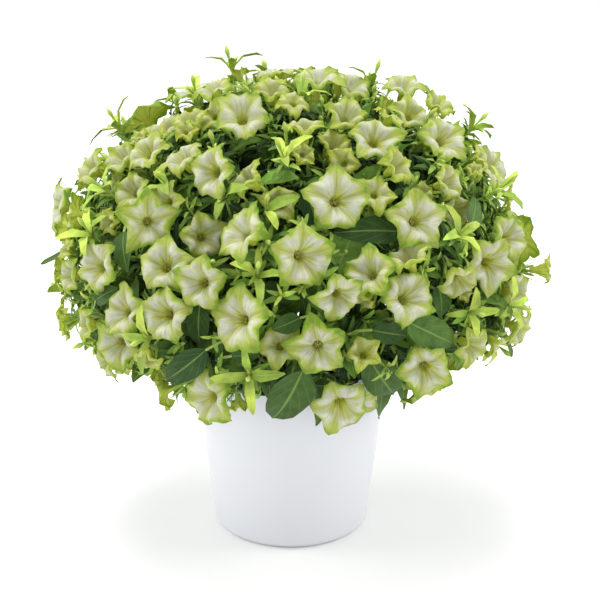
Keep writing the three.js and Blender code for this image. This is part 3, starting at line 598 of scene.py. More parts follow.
def readShoot(node):
    points, near = readSkin(node)
    seen, blades, buds, twigs = set(), [], [], []
    broad, narrow, furled = [], [], []

    def at(ring):
        return points[sorted(ring)]

    # a tip's edges are long and all run back from it
    def isTip(i):
        arms = at(near[i]) - points[i]
        ways = unitRows(arms)
        isLong = len(arms) in (4, 6) and lengthsOf(arms).min() > shootSigns["tipEdge"]
        return isLong and (ways @ unit(ways.mean(0))).min() > 0.5

    def thinnest(ring):
        return min(np.linalg.norm(points[i] - points[j]) for i in ring for j in ring if i < j)

    # the rings of a twig, from its end down to the stem
    def followTwig(ring):
        rings = [at(ring)]
        while lengthsOf(rings[-1] - rings[-1].mean(0)).mean() < shootSigns["twigRadius"]:
            seen.update(ring)
            ring = beyond(near, ring, seen)
            rings.append(at(ring))
        return rings

    for i in [i for i in range(len(points)) if isTip(i)]:
        rows = [near[i]]
        if len(rows[0]) == 6:
            rows.append(beyond(near, rows[0], {i} | rows[0]))
            broad.append((i, rows))
        else:
            (narrow if thinnest(rows[0]) < shootSigns["bladeEdge"] else furled).append((i, rows))
    for i, rows in broad + narrow + furled:
        seen.update({i}.union(*rows))
    for i, rows in narrow:
        blades.append((at(beyond(near, rows[-1], seen)).mean(0), [at(r) for r in rows], points[i]))
    for i, rows in broad + furled:
        rings = followTwig(beyond(near, rows[-1], seen))
        foot, row = rings[0].mean(0), at(rows[0])
        if len(rings) > 1:
            twigs.append([foot, rings[-2].mean(0), rings[-1].mean(0), rings[0], rings[-2]])
        if len(rows) == 2:
            blades.append((foot, [at(r) for r in rows], points[i]))
        else:
            buds.append({"foot": foot, "middle": row.mean(0), "tip": points[i],
                         "width": lengthsOf(row - row.mean(0)).mean()})
    # what is left is the stem, which is followed up from its lowest ring
    left = [i for i in range(len(points)) if i not in seen]
    rings = [set(sorted(left, key=lambda i: points[i][2])[:4])]
    while rings[-1]:
        seen |= rings[-1]
        rings.append(beyond(near, rings[-1], seen))
    centres = [at(r).mean(0) for r in rings[:-1]]
    endWay = ringWay(at(rings[-2]), centres[-1] - centres[-2])
    return {"foot": centres[1], "end": centres[-1], "endWay": endWay, "buds": buds, "twigs": twigs,
            "blades": [bladeFrom(*b, outwardAt(b[0])) for b in blades]}


stems = {
    "radius": 2.6 * mm, "endRadius": 1.9 * mm, "twigRadius": 1.2 * mm, "bend": 0.45, "root": 14 * mm,
    "seed": 83,
}


# The stem's way from its hole in the soil: upright at first, and then over to its end.
def stemWay(shoot):
    bend = np.linalg.norm(shoot["end"] - shoot["foot"]) * stems["bend"]
    p0, p1 = shoot["foot"], shoot["foot"] + up * bend
    p2, p3 = shoot["end"] - shoot["endWay"] * bend, shoot["end"]
    s = np.linspace(0, 1, 9)[:, None]
    places = (1 - s) ** 3 * p0 + 3 * (1 - s) ** 2 * s * p1 + 3 * (1 - s) * s ** 2 * p2 + s ** 3 * p3
    return places, unitRows(3 * ((1 - s) ** 2 * (p1 - p0) + 2 * (1 - s) * s * (p2 - p1) + s ** 2 * (p3 - p2)))


# Every shoot, with its blooms, and with lists for the trumpets and copies that are added to it.
shoots = []
for name in sorted(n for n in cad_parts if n.startswith("shoot_")):
    shoot = {**readShoot(name), "name": name, "index": int(name[-2:]), "young": [], "copies": []}
    shoot["stem"] = stemWay(shoot)
    shoot["blooms"], shoot["hub"] = readBlooms(name.replace("shoot", "blooms"))
    shoots.append(shoot)
blooms = [bloom for shoot in shoots for bloom in shoot["blooms"]]
print("read", len(blooms), "blooms,", sum(len(s["blades"]) for s in shoots), "leaves and",
      sum(len(s["buds"]) for s in shoots), "buds")


# A smooth way through points with a direction at each, as many places along it as asked for.
def pathThrough(points, ways, shares):
    last = len(points) - 1
    spans = np.clip((shares * last).astype(int), 0, last - 1)
    t = (shares * last - spans)[:, None]
    points, ways = np.asarray(points), np.asarray(ways)
    a, b = points[spans], points[spans + 1]
    reach = lengthsOf(b - a)[:, None]
    fromWay, toWay = ways[spans] * reach, ways[spans + 1] * reach
    place = ((2 * t ** 3 - 3 * t ** 2 + 1) * a + (t ** 3 - 2 * t ** 2 + t) * fromWay
             + (3 * t ** 2 - 2 * t ** 3) * b + (t ** 3 - t ** 2) * toWay)
    way = ((6 * t ** 2 - 6 * t) * (a - b) + (3 * t ** 2 - 4 * t + 1) * fromWay + (3 * t ** 2 - 2 * t) * toWay)
    return place, unitRows(way)


# Points of a rod shape laid along a way, with a radius at its start and end.
def rodAlong(shape, points, ways, radii, swell=None):
    along = np.round(shape["points"][:, 2], 5)
    shares = np.unique(along)
    place, way = pathThrough(points, ways, shares)
    row = np.searchsorted(shares, along)
    sides = [squareTo(way[0], up if abs(way[0][2]) < 0.9 else [1, 0, 0])]
    for each in way:
        sides.append(squareTo(each, sides[-1]))
    sides = np.array(sides[1:])
    others = np.cross(way, sides)
    radius = radii[0] + (radii[1] - radii[0]) * shares
    if swell is not None:
        radius = radius * swell(shares)
    x, y = shape["points"][:, 0:1], shape["points"][:, 1:2]
    return place[row] + radius[row][:, None] * (x * sides[row] + y * others[row])


# Blades: the powers of a blade's outline from its foot and from its tip, and the outline's greatest width.
bladeForm = {
    "thickness": 0.45 * mm, "wave": 0.045, "waves": 11, "phaseStep": 2.399,
    "broad": (0.5, 0.85, 0.4107), "narrow": (0.65, 0.62, 0.4146),
}


# Points of a blade shape on a bent spine. Broad blades are widest at two fifths, as a petunia's are.
def bladePoints(shape, blade, fold=0.16, seed=0):
    flat = shape["points"]
    across, share = flat[:, 0:1], flat[:, 1:2] * 0.5 + 0.5
    share = 0.5 - 0.495 * np.cos(math.pi * share)
    fromFoot, fromTip, widest = bladeForm["broad" if blade["broad"] else "narrow"]
    half = across * (share ** fromFoot * (1 - share) ** fromTip / widest) * blade["width"] / 2
    spine = blade["foot"] + blade["run"] * share + blade["bend"] * share ** 2
    way = unitRows(blade["run"] + 2 * blade["bend"] * share)
    side = unitRows(blade["side"] - way * (way @ blade["side"])[:, None])
    upper = np.cross(side, way)
    # the blade's sides change places where its upper face would point down, so that no copy is a mirror image
    if np.mean(upper @ blade["upper"]) < 0:
        side, upper = -side, -upper
    wave = np.sin(share * bladeForm["waves"] + seed * bladeForm["phaseStep"] + np.sign(across) * 0.9)
    wave = wave * bladeForm["wave"] * blade["width"] * across ** 2
    layer = np.where(flat[:, 2:3] < -flatDepth / 2, -0.5, 0.5) * bladeForm["thickness"]
    return spine + side * half + upper * (np.abs(half) * fold + wave + layer)


# Points of the corolla: from the tube, through the throat, out to the five pointed lobes.
def corollaPoints(bloom, seed):
    random = randomFor(corolla["seed"], seed)
    lobe, out, back = (corollaShape[key] for key in ("lobe", "out", "back"))
    facing, apex, radius = bloom["facing"], bloom["apex"], bloom["radius"]
    number = np.floor(lobe).astype(int) % 5
    within = lobe - np.floor(lobe)
    share = 1 - np.abs(2 * within - 1)
    notch = bloom["notches"][np.where(within < 0.5, number, (number + 1) % 5)]
    # each margin runs from the notch to the tip in an ogee, full at first and then drawn out to a point
    ogee = share + corolla["shoulder"] * np.sin(2 * math.pi * share)
    rel = notch + (bloom["tips"][number] - notch) * ogee[:, None] - apex
    height = rel @ facing
    away = rel - np.outer(height, facing)
    tipReach = random.uniform(*corolla["tipReach"], 5)[number]
    reach = lengthsOf(away) * corolla["reach"] * (1 + tipReach * share ** 2)
    away = unitRows(away)
    reach = reach * (1 - random.uniform(0, corolla["notchDepth"]) * (1 - share) ** 2)
    reach = reach * (1 + random.uniform(*corolla["fullness"]) * np.sin(math.pi * share ** 0.8))
    edgeLevel = np.dot(bloom["middle"] - apex, facing)
    throatHeight = np.dot(bloom["throat"] - apex, facing)
    throatHeight += (edgeLevel - throatHeight) * corolla["shallow"]
    bottom = np.dot(bloom["tubeEnd"] - apex, facing) + 2 * mm
    throat, throatRadius, tubeRadius = corolla["throat"], bloom["throatRadius"], corolla["tubeRadius"]
    flare = random.uniform(*corolla["flare"])

    # the distance across and the height: a bowl up to the throat, and from there the limb
    def profile(v):
        inner, outer = np.clip(v / throat, 0, 1), np.clip((v - throat) / (1 - throat), 0, 1)
        narrow = tubeRadius + (throatRadius - tubeRadius) * inner ** 1.2
        wide = throatRadius + (reach - throatRadius) * outer ** 0.92
        low = bottom + (throatHeight - bottom) * (1 - (1 - inner) ** 2.6)
        level = (throatHeight - edgeLevel) * (1 - outer) ** flare + edgeLevel
        return np.where(v < throat, (narrow, low), (wide, level + (height - edgeLevel) * outer ** 2.5))

    across, rise = profile(out)
    slope = (profile(np.clip(out + 0.01, 0, 1.01)) - (across, rise)).T
    slope[out > 0.99] = [1, 0]
    slope = unitRows(slope)
    limb = np.clip((out - throat) / (1 - throat), 0, 1)
    groove = corolla["groove"] * np.cos(2 * math.pi * lobe) * np.sin(math.pi * limb ** 0.8)
    turn, phase = lobe / 5 * 2 * math.pi, random.uniform(0, 6.28, 3)
    coarse, fine = random.integers(6, 9), random.integers(13, 19)
    ruffle = 1.5 * np.sin(turn * coarse + phase[0]) * limb ** 2 + np.sin(turn * fine + phase[1]) * limb ** 5
    rise = rise + groove + ruffle * corolla["ruffle"] * random.uniform(0.6, 1.4)
    # each lobe bends back, some of them much more than others
    curl = (random.uniform(0, 1, 5) ** 2.2)[number] * radius * corolla["curl"]
    rise = rise - curl * (0.35 + 0.65 * share) * limb ** 3.5
    across = across - curl * 0.45 * share * limb ** 4
    depth = np.where(back, corolla["thickness"], 0)
    across = across + depth * slope[:, 1]
    rise = rise - depth * slope[:, 0]
    return apex + away * across[:, None] + np.outer(rise, facing)


# A furled bud: a slim tube that swells into a twisted, pleated tip.
def budSwell(shares):
    swell = 0.35 + 0.75 * np.exp(-((shares - 0.66) / 0.2) ** 2)
    swell = swell - 0.3 * np.clip((shares - 0.85) / 0.15, 0, 1) ** 2
    return np.maximum(swell, 0.08) * np.where(shares > 0.99, 0.15, 1)


def budCopy(foot, middle, tip, width, shade):
    ways = [unit(middle - foot), unit(tip - foot), unit(tip - middle)]
    points = rodAlong(budRod, [foot, middle, tip], ways, [width * 0.95, width * 0.95], budSwell)
    return budRod, points, shade, 1.0


def bladeCopy(shape, blade, shade, youth, seed, fold=0.16):
    return shape, bladePoints(shape, blade, fold, seed), shade, youth


# A small leaf by its foot and direction.
def smallBlade(foot, direction, upper, length, width, arch, droop, broad=False):
    direction = unit(direction)
    upper = squareTo(direction, upper)
    run = direction * length + upper * length * 4 * arch
    bend = -upper * length * (4 * arch + droop)
    return {"foot": foot, "run": run, "bend": bend, "side": np.cross(direction, upper), "upper": upper,
            "width": width, "broad": broad}


# What new leaves and trumpets keep clear of: the room in front of each bloom and in its trumpet, the pot,
# and the broad leaves.
clear = {"front": 40 * mm, "behind": 38 * mm, "funnelDepth": 26 * mm, "funnelLength": 24 * mm, "tube": 3 * mm,
         "potTop": 186 * mm, "potRadius": 106 * mm, "leaf": 6.5 * mm}
bloomMiddles, bloomFacings, bloomRadii = (
    np.array([bloom[key] for bloom in blooms]) for key in ("middle", "facing", "radius"))


def coversBloom(places):
    rel = np.atleast_2d(places)[:, None, :] - bloomMiddles[None]
    ahead = np.einsum("ijk,jk->ij", rel, bloomFacings)
    aside = np.linalg.norm(rel - ahead[:, :, None] * bloomFacings[None], axis=2)
    opened = np.clip((ahead + clear["funnelDepth"]) / clear["funnelLength"], 0, 1)
    funnel = clear["tube"] + (bloomRadii - clear["tube"]) * opened
    inFront = (ahead > -clear["behind"]) & (ahead < clear["front"])
    return bool(np.any(inFront & (aside < funnel * 0.98 + 1 * mm)))


def nearPot(places):
    out = np.hypot(places[:, 0], places[:, 1])
    return bool(np.any((places[:, 2] < clear["potTop"]) & (out < clear["potRadius"])))


broadPlaces = np.concatenate([bladePoints(broadBlade, blade, seed=k) for shoot in shoots
                              for k, blade in enumerate(shoot["blades"]) if blade["broad"]])
broadTree = KDTree(len(broadPlaces))
for k, place in enumerate(broadPlaces):
    broadTree.insert(place, k)
broadTree.balance()


def touchesLeaf(places):
    return any(broadTree.find(place)[2] < clear["leaf"] for place in places)


def isBlocked(places):
    return nearPot(places) or coversBloom(places) or touchesLeaf(places)


# The same for a blade, by places along its spine and its two edges.
def bladeBlocked(blade):
    shares = np.linspace(0.1, 1, 8)[:, None, None]
    across = np.linspace(-0.42, 0.42, 3)[None, :, None] * (1 - shares) ** 0.5
    places = blade["foot"] + blade["run"] * shares + blade["bend"] * shares ** 2
    return isBlocked((places + blade["side"] * blade["width"] * across).reshape(-1, 3))


# The sprays: flower stalks, calyces, corollas and anthers.
spray = {
    "stalkRadius": 1.1 * mm, "cupRadius": 2.7 * mm, "sepals": 5, "sepalLength": 15 * mm,
    "sepalWidth": 3.4 * mm, "anthers": 5, "antherRing": 2.1 * mm,
    "antherSize": [1.0 * mm, 1.0 * mm, 1.4 * mm], "opened": 20 * mm, "bractLength": (18, 30),
    "knotRadius": 2.4 * mm, "knotEnd": 1.7 * mm, "seed": 57, "bractSeed": 71,
}


def growBloom(bloom, seed):
    random = randomFor(spray["seed"], seed)
    youth = float(np.clip((24 * mm - bloom["radius"]) / (8 * mm), 0, 1))
    shade = random.uniform()
    facing, root, half, end = (bloom[key] for key in ("facing", "root", "half", "tubeEnd"))
    stalk = rodAlong(twigRod, [root, half, end], [unit(half - root), bloom["halfWay"], facing],
                     [spray["stalkRadius"], spray["stalkRadius"] * 0.85])
    cup = rodAlong(twigRod, [end - facing * 1.5 * mm, end + facing * 6 * mm], [facing, facing],
                   [1.3 * mm, spray["cupRadius"]])
    copies = [(corollaShape, corollaPoints(bloom, seed), shade, youth), (twigRod, stalk, shade, 0.6),
              (twigRod, cup, shade, 0.7)]
    for k in range(spray["sepals"]):
        outward = spokeAt(facing, 2 * math.pi * (k + random.uniform(-0.15, 0.15)) / spray["sepals"])
        spread = random.uniform(0.5, 0.85)
        length = spray["sepalLength"] * random.uniform(0.85, 1.2)
        blade = smallBlade(end + facing * 1.5 * mm + outward * 1.6 * mm, facing + outward * spread, -outward,
                           length, spray["sepalWidth"], -0.04, -0.1)
        copies.append(bladeCopy(youngBlade, blade, random.uniform(), 0.65, k))
    if bloom["radius"] <= spray["opened"]:
        return copies
    # a ring of anthers in the throat, and one in its middle
    for k in range(spray["anthers"] + 1):
        outward = spokeAt(facing, 2 * math.pi * (k + random.uniform(-0.2, 0.2)) / spray["anthers"])
        out = spray["antherRing"] if k < spray["anthers"] else 0
        place = bloom["throat"] + outward * out - facing * random.uniform(-1, 2) * mm
        copies.append((antherGrain, place + antherGrain["points"] * spray["antherSize"], shade, 0.5))
    return copies


# Small leaves in a pair on the flower stalk, where it leaves the stem.
def growBracts(bloom, seed):
    random = randomFor(spray["bractSeed"], seed)
    copies = []
    root, half, out = bloom["root"], bloom["half"], outwardAt(bloom["half"])
    way = unit(half - root)
    for hand in (-1, 1):
        foot = root + (half - root) * random.uniform(0.25, 0.6)
        side = squareTo(way, out) * 0.3 + hand * squareTo(way, np.cross(way, out))
        direction = way * random.uniform(0.4, 1.0) + side
        length = random.uniform(*spray["bractLength"]) * mm
        width = length * random.uniform(0.36, 0.5)
        blade = smallBlade(foot, direction, out, length, width, 0.08, random.uniform(0, 0.25))
        if not bladeBlocked(blade):
            shade, youth = random.uniform(), random.uniform(0.45, 0.8)
            copies.append(bladeCopy(youngBlade, blade, shade, youth, seed + hand))
    return copies


# Places that a new stalk or twig can leave from, on the stems, stalks and twigs of the solids.
anchors, anchorWays, anchorShoots = [], [], []


def addAnchor(place, way, shoot):
    anchors.append(place)
    anchorWays.append(way)
    anchorShoots.append(shoot)


for shoot in shoots:
    for place, way in list(zip(*shoot["stem"]))[3:]:
        addAnchor(place, way, shoot)
    for bloom in shoot["blooms"]:
        addAnchor(bloom["root"] * 0.4 + bloom["half"] * 0.6, unit(bloom["half"] - bloom["root"]), shoot)
    for end, mid, start, *_ in shoot["twigs"]:
        addAnchor(mid, unit(end - start), shoot)
anchors, anchorWays = np.array(anchors), np.array(anchorWays)


# The nearest anchors that end can be reached from at an easy angle, best first, with the way of leaving.
def anchorsFor(end):
    rel = end - anchors
    reach = lengthsOf(rel)
    ease = np.einsum("ij,ij->i", rel, anchorWays) / np.maximum(reach, 1e-9)
    cost = reach + 30 * mm * (1 - ease) + np.where(reach < 6 * mm, 1, 0)
    return [(k, unit(anchorWays[k] + unit(rel[k]) * 0.8)) for k in np.argsort(cost)[:5]]


# A twig that joins a new tuft or leaf to the plant, and the shoot that it joins.
def joinTwig(end, lean, random):
    for k, leaving in anchorsFor(end):
        points = rodAlong(twigRod, [anchors[k], end], [leaving, lean],
                          [stems["twigRadius"] * 1.1, stems["twigRadius"] * 0.8])
        if not coversBloom(points[len(points) // 4:]) and not nearPot(points):
            anchorShoots[k]["copies"].append((twigRod, points, random.uniform(), 0.5))
            return anchorShoots[k]
    return None


# Places spread evenly over the dome from its top down, each with its own random source, that are as far
# from those taken as the plan says. deeper draws how much further in than the plan's inset each one lies.
def spreadPlaces(plan, taken, deeper):
    for i in range(plan["tries"]):
        random = randomFor(plan["seed"], i)
        height = 1 - plan["span"] * (i + 0.5) / plan["tries"]
        place = domePoint(i * goldenAngle + plan["turn"], height, plan["inset"] + deeper(random))
        if all(np.linalg.norm(place - p) >= plan["apart"] for p in taken):
            yield i, random, place


# Half-open trumpets, low among the leaves and turned to all sides: smaller copies of the first blooms.
trumpets = {
    "tries": 520, "span": 1.6, "turn": 2.2, "inset": 16 * mm, "depth": 26 * mm, "apart": 38 * mm,
    "size": (0.5, 0.72), "models": 12, "longestStalk": 75 * mm, "seed": 113,
}


# A bloom moved to its own place and size, with its stalk from an anchor.
def movedBloom(bloom, place, facing, size, random):
    oldSide, newSide = squareTo(bloom["facing"], up), squareTo(facing, random.uniform(-1, 1, 3))
    old = np.column_stack([oldSide, np.cross(bloom["facing"], oldSide), bloom["facing"]])
    new = np.column_stack([newSide, np.cross(facing, newSide), facing])
    moved = {"facing": facing, "radius": bloom["radius"] * size, "throatRadius": bloom["throatRadius"] * size}
    for key in ("apex", "notches", "tips", "throat", "middle", "tubeEnd"):
        moved[key] = place + size * (bloom[key] - bloom["apex"]) @ old @ new.T
    for k, leaving in anchorsFor(moved["tubeEnd"]):
        reach = np.linalg.norm(moved["tubeEnd"] - anchors[k])
        half = (anchors[k] + moved["tubeEnd"]) / 2 + (leaving - facing) * reach * 0.12
        if reach < trumpets["longestStalk"] and not coversBloom([half]) and not nearPot(half[None]):
            halfWay = unit(moved["tubeEnd"] - anchors[k])
            return anchorShoots[k], {**moved, "root": anchors[k], "half": half, "halfWay": halfWay}
    return None, None


taken = []
for i, random, place in spreadPlaces(trumpets, taken, lambda draw: trumpets["depth"] * draw.uniform()):
    facing = unit(outwardAt(place) + random.uniform(-0.75, 0.75, 3))
    size = random.uniform(*trumpets["size"])
    owner, bloom = movedBloom(blooms[i % trumpets["models"]], place, facing, size, random)
    reached = ("tips", "notches", "throat", "tubeEnd", "apex")
    if owner is None or isBlocked(np.vstack([bloom[key] for key in reached])):
        continue
    taken.append(place)
    owner["young"].append(bloom)
    bloomMiddles = np.vstack([bloomMiddles, bloom["middle"]])
    bloomFacings = np.vstack([bloomFacings, facing])
    bloomRadii = np.append(bloomRadii, bloom["radius"])
print("added", len(taken), "young trumpets")

for shoot in shoots:
    name, index, endWay = shoot["name"], shoot["index"], shoot["endWay"]
    copies = []
    for k, bloom in enumerate(shoot["young"]):
        copies += growBloom(bloom, 1000 + index * 20 + k)
    for k, bloom in enumerate(shoot["blooms"]):
        copies += growBloom(bloom, index * 20 + k) + growBracts(bloom, index * 20 + k)
    knot = rodAlong(twigRod, [shoot["end"], shoot["hub"] + endWay * 3 * mm], [endWay, endWay],
                    [spray["knotRadius"], spray["knotEnd"]])
    piece = assemble("flowerSpray_%02d" % index, copies + [(twigRod, knot, 0.5, 0.4)])
    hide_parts(name.replace("shoot", "blooms"))
    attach(piece, "root")
print("sprays grown")

# The shoots: stem, twigs, leaves and buds of the solids, and the tufts and inner leaves between them.
tufts = {
    "tries": 1700, "span": 1.66, "turn": 1.3, "inset": 22 * mm, "depth": 42 * mm, "power": 1.5,
    "apart": 18 * mm,
    "leaves": 14, "leafLength": (8, 14), "leafWidth": (0.22, 0.34), "fewest": 4, "buds": 0.45, "seed": 97,
}
innerLeaves = {
    "tries": 420, "span": 1.8, "turn": 0.4, "inset": 62 * mm, "depth": (-12, 22), "apart": 30 * mm,
    "leafLength": (38, 58), "leafWidth": (0.5, 0.62), "youth": (0.12, 0.36), "seed": 103,
}


# Leaves are lime at the surface and darker green the deeper they lie: partly older leaves within, and partly
# painted shade of the foliage round them.
def youthAndShadeAt(point):
    return float(np.clip(1.15 - insetOf(point) / (72 * mm), 0, 1))


# A tuft of young leaves round the end of a twig: short and upright at the end, longer and spread below.
def growTuft(end, lean, random):
    leaves = []
    for k in range(tufts["leaves"]):
        outward = spokeAt(lean, k * 2.4 + random.uniform(0, 0.5))
        length = (random.uniform(*tufts["leafLength"]) + 1.1 * k) * mm
        foot = end - lean * k * 1.3 * mm
        direction = lean * random.uniform(0.9, 1.7) / (1 + 0.16 * k) + outward
        width = length * random.uniform(*tufts["leafWidth"])
        blade = smallBlade(foot, direction, lean, length, width, 0.12, random.uniform(0, 0.6))
        tip = blade["foot"] + blade["run"] + blade["bend"]
        if not bladeBlocked(blade) and insetOf(tip) > -4 * mm:
            # lighter leaves at the surface and darker ones deeper in, partly painted shade, and a little
            # darker lower in the tuft
            youth = float(np.clip(youthAndShadeAt(tip) - k * 0.045 + random.uniform(-0.2, 0.12), 0, 1))
            leaves.append(bladeCopy(youngBlade, blade, random.uniform(), youth, k, 0.28))
    return leaves


for shoot in shoots:
    random = randomFor(stems["seed"], shoot["index"])
    copies, (places, ways) = shoot["copies"], shoot["stem"]
    points = rodAlong(stemRod, [shoot["foot"] - up * stems["root"], *places], [up, *ways],
                      [stems["radius"], stems["endRadius"]])
    copies.append((stemRod, points, random.uniform(), 0.1))
    for end, mid, start, endRing, midRing in shoot["twigs"]:
        ways = [unit(mid - start), ringWay(midRing, end - start), ringWay(endRing, end - mid)]
        points = rodAlong(twigRod, [start, mid, end], ways, [stems["twigRadius"] * 1.15, stems["twigRadius"]])
        copies.append((twigRod, points, random.uniform(), 0.5))
    for k, blade in enumerate(shoot["blades"]):
        if blade["broad"]:
            # broad leaves are dark green, and a little darker the deeper they lie, which is painted shade
            depth = insetOf(blade["foot"] + blade["run"] + blade["bend"])
            youth = float(np.clip(0.12 - depth / (200 * mm), 0.0, 0.1)) + random.uniform(0, 0.1)
            copies.append(bladeCopy(broadBlade, blade, random.uniform(), youth, k))
        else:
            # darker the deeper the leaf lies: partly older leaves, partly painted shade
            youth = float(np.clip(youthAndShadeAt(blade["foot"] + blade["run"]) + random.uniform(-0.35, 0), 0.2, 0.9))
            copies.append(bladeCopy(youngBlade, blade, random.uniform(), youth, k, 0.3))
    for bud in shoot["buds"]:
        copies.append(budCopy(bud["foot"], bud["middle"], bud["tip"], bud["width"], random.uniform()))
        copies += growTuft(bud["foot"], unit(bud["middle"] - bud["foot"]), random)


# Here and there the surface stays open to the shade within.
def isOpen(place):
    return math.sin(62 * place[0] + 1) * math.sin(55 * place[1] + 2) * math.sin(66 * place[2] + 0.5) < -0.22


taken = [bud["foot"] for shoot in shoots for bud in shoot["buds"]]
tuftCount, innerCount = -len(taken), 0
for i, random, end in spreadPlaces(
        tufts, taken, lambda draw: tufts["depth"] * draw.uniform() ** tufts["power"]):
    if isOpen(end) or coversBloom(end):
        continue
    lean = unit(outwardAt(end) + random.uniform(-0.35, 0.35, 3))
    leaves = growTuft(end, lean, random)
    owner = joinTwig(end, lean, random) if len(leaves) >= tufts["fewest"] else None
    if owner is None:
        continue
    taken.append(end)
    owner["copies"] += leaves
    if random.uniform() < tufts["buds"] and lean[2] > 0:
        tip = end + lean * random.uniform(14, 26) * mm
        if not coversBloom(tip) and not touchesLeaf([end, (end + tip) / 2, tip]):
            middle = (end + tip) / 2 + squareTo(lean, up) * 1.5 * mm
            owner["copies"].append(budCopy(end, middle, tip, 2.4 * mm, random.uniform()))
tuftCount += len(taken)

taken = []
for i, random, foot in spreadPlaces(
        innerLeaves, taken, lambda draw: draw.uniform(*innerLeaves["depth"]) * mm):
    if foot[2] < 176 * mm and math.hypot(foot[0], foot[1]) < 108 * mm:  # in the pot
        continue
    out = outwardAt(foot)
    side = squareTo(out, np.cross(out, up) + random.uniform(-1, 1, 3) * 0.8)
    owner = joinTwig(foot, unit(out + side * 0.5), random)
    if owner is None:
        continue
    taken.append(foot)
    for hand in (-1, 1, 0):
        way = side * hand + out * random.uniform(0.3, 0.9) + up * random.uniform(-0.3, 0.3)
        length = random.uniform(*innerLeaves["leafLength"]) * mm
        width, droop = length * random.uniform(*innerLeaves["leafWidth"]), random.uniform(0.05, 0.3)
        blade = smallBlade(foot, way, out + up * 0.4, length, width, 0.09, droop, broad=True)
        if not bladeBlocked(blade):
            innerCount += 1
            youth = random.uniform(*innerLeaves["youth"])
            owner["copies"].append(bladeCopy(plainBlade, blade, random.uniform(), youth, i + hand))
print("added", tuftCount, "tufts and", innerCount, "inner leaves")

for shoot in shoots:
    name = shoot["name"]
    piece = assemble("leafyShoot_" + name[-2:], shoot["copies"])
    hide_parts(name)
    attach(piece, "root")
print("shoots grown")

# The pot, drawn up from its flat foot: a small round, the tapered wall, the rolled rim, and down inside.
potSizes = {
    "sides": 128, "foot": 77.5 * mm, "rim": 100 * mm, "height": 181 * mm, "wall": 2.6 * mm, "floor": 3.6 * mm,
    "round": 6 * mm, "rimRound": 1.1 * mm,
}


def wallAt(height):
    return potSizes["foot"] + (potSizes["rim"] - potSizes["foot"]) / potSizes["height"] * height


def modelPot(size):
    top, bead, wall, floor, corner = (size[key] for key in ("height", "rimRound", "wall", "floor", "round"))
    start = wallAt(corner) - corner
    steps = []
    for k in range(1, 6):
        turn = math.pi / 2 * k / 5
        steps.append((wallAt(corner) - corner * (1 - math.sin(turn)), corner * (1 - math.cos(turn))))
    steps += [(wallAt(top * share), top * share) for share in (0.25, 0.5, 0.75)]
    for k in range(5):
        turn = math.pi * k / 4
        steps.append((wallAt(top) - wall / 2 + math.cos(turn) * wall / 2, top - bead + bead * math.sin(turn)))
    steps += [(wallAt(top * 0.6) - wall, top * 0.6), (wallAt(floor) - wall, floor + 2 * mm),
              (wallAt(floor) - wall - 2 * mm, floor)]
    piece = startDisc(size["sides"], start)
    piece.name = "moulded_pot"
    radius, height = start, 0
    for nextRadius, nextHeight in steps:
        drawUp(nextHeight - height, nextRadius / radius, nextHeight)
        radius, height = nextRadius, nextHeight
    turnFacesOut()
    bpy.ops.object.shade_smooth_by_angle(angle=math.radians(35))
    piece.data.materials.append(finishes["pot"])
    return piece


pot = modelPot(potSizes)
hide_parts("pot")
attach(pot, "root")
print("pot modelled")

# The potting mix: its body fills the pot, and crumbs and perlite grains lie on its uneven top.
soilSizes = {
    "sides": 72, "rings": 16, "top": 166 * mm, "bottom": 4 * mm, "uneven": 2.2 * mm, "gap": 0.5 * mm,
    "crumbs": 520, "crumbRadius": (1.2, 3.4), "grains": 110, "grainRadius": (1.0, 2.0),
    "seed": 7, "grainSeed": 11,
}


def modelSoil(size):
    top, bottom = size["top"], size["bottom"]
    wide = wallAt(top) - potSizes["wall"] - size["gap"]
    start = wallAt(bottom) - potSizes["wall"] - size["gap"] - 3 * mm
    piece = startDisc(size["sides"], start, bottom)
    drawUp(top - bottom, wide / start, top)
    for k in range(size["rings"]):
        bpy.ops.mesh.inset(thickness=wide / (size["rings"] + 1), depth=0)
    turnFacesOut()
    random = randomFor(size["seed"])
    for vertex in piece.data.vertices:
        if vertex.co.z > top - mm and math.hypot(vertex.co.x, vertex.co.y) < wide - 2 * mm:
            vertex.co.z += random.uniform(-1, 0.6) * size["uneven"]
    body = keepShape(piece, lambda f: f[:, :2], lambda f: "soil")
    copies = [(body, body["points"], 0.5, 0.5)]
    for k in range(size["crumbs"] + size["grains"]):
        random = randomFor(size["grainSeed"], k)
        reach = wide * 0.96 * math.sqrt(random.uniform())
        turn = random.uniform(0, 2 * math.pi)
        shape, radii = (crumbGrain, "crumbRadius") if k < size["crumbs"] else (perliteGrain, "grainRadius")
        radius = random.uniform(*size[radii]) * mm
        lumps = shape["points"] * (1 + 0.35 * random.uniform(-1, 1, (len(shape["points"]), 1)))
        place = [reach * math.cos(turn), reach * math.sin(turn), top + radius * 0.2]
        copies.append((shape, place + lumps * radius * [1, 1, 0.75], random.uniform(), 0.5))
    return assemble("potting_mix", copies)


soil = modelSoil(soilSizes)
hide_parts("soil")
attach(soil, "root")
print("soil modelled")

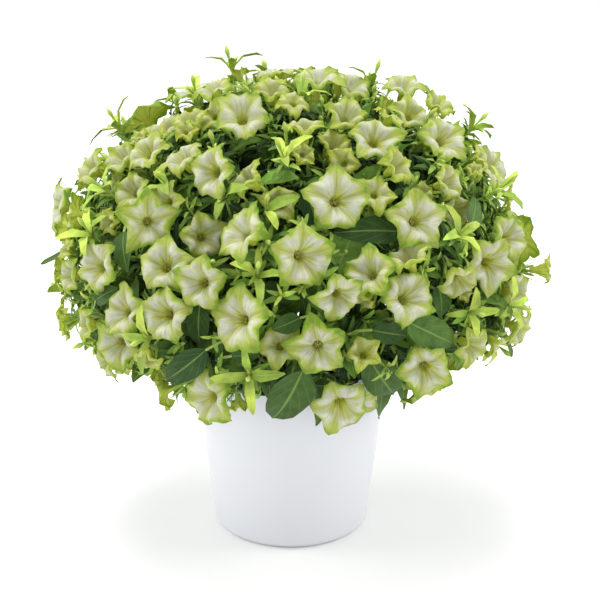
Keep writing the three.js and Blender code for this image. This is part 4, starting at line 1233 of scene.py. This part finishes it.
# A plain white studio: a paper floor, soft sky, a large soft light above and weaker ones round the plant.
studio = {"floorSize": 14, "sky": 0.98, "aim": (0, 0, 0.27), "lights": [
    {"name": "topLight", "power": 52, "size": 1.3, "place": (-0.3, 0.1, 2.8)},
    {"name": "frontLight", "power": 4, "size": 1.0, "place": (0, -1.9, 0.1), "aim": (0, 0, 0)},
    {"name": "leftLight", "power": 27, "size": 1.4, "place": (-2.2, 0.2, 1.3)},
    {"name": "rightLight", "power": 27, "size": 1.4, "place": (2.2, 0.2, 1.3)},
]}
paperLook = {"cloud": 1000 / 3 * mm, "surface": {"Roughness": 0.9}}


def makeStudio():
    floor = startPiece(bpy.ops.mesh.primitive_grid_add, x_subdivisions=4, y_subdivisions=4,
                       size=studio["floorSize"])
    floor.name = "studio_floor"
    finish, add = newFinish("studioPaper")
    cloud = add("TexNoise", {"Vector": add("TexCoord").outputs["Object"], "Scale": 1 / paperLook["cloud"]})
    endFinish(add, paperLook, add("MapRange", {0: cloud, 3: 0.9, 4: 0.94}))
    floor.data.materials.append(finish)
    world = bpy.data.worlds.new("studioSky")
    world.use_nodes = True
    bpy.context.scene.world = world
    sky = world.node_tree.nodes["Background"]
    sky.inputs["Color"].default_value = (1, 1, 1, 1)
    sky.inputs["Strength"].default_value = studio["sky"]
    for light in studio["lights"]:
        bpy.ops.object.light_add(type="AREA", location=light["place"])
        lamp = bpy.context.active_object
        lamp.name = light["name"]
        lamp.data.energy = light["power"]
        lamp.data.size = light["size"]
        aim = Vector(light.get("aim", studio["aim"])) - lamp.location
        lamp.rotation_euler = aim.to_track_quat("-Z", "Y").to_euler()


makeStudio()

# The photograph's view: level with the dome from a little above, with a long lens.
view = {"elevation": 19, "distance": 1.6, "target": (0.009, 0, 0.237), "lens": 96, "sensor": 36}


def makeCamera():
    tilt = math.radians(view["elevation"])
    place = Vector(view["target"]) - Vector((0, math.cos(tilt), -math.sin(tilt))) * view["distance"]
    bpy.ops.object.camera_add(location=place)
    camera = bpy.context.active_object
    camera.rotation_euler = (math.radians(90) - tilt, 0, 0)
    camera.data.lens = view["lens"]
    camera.data.sensor_width = view["sensor"]
    bpy.context.scene.camera = camera


makeCamera()
bpy.context.scene.view_settings.view_transform = "Standard"
print("studio and camera set")
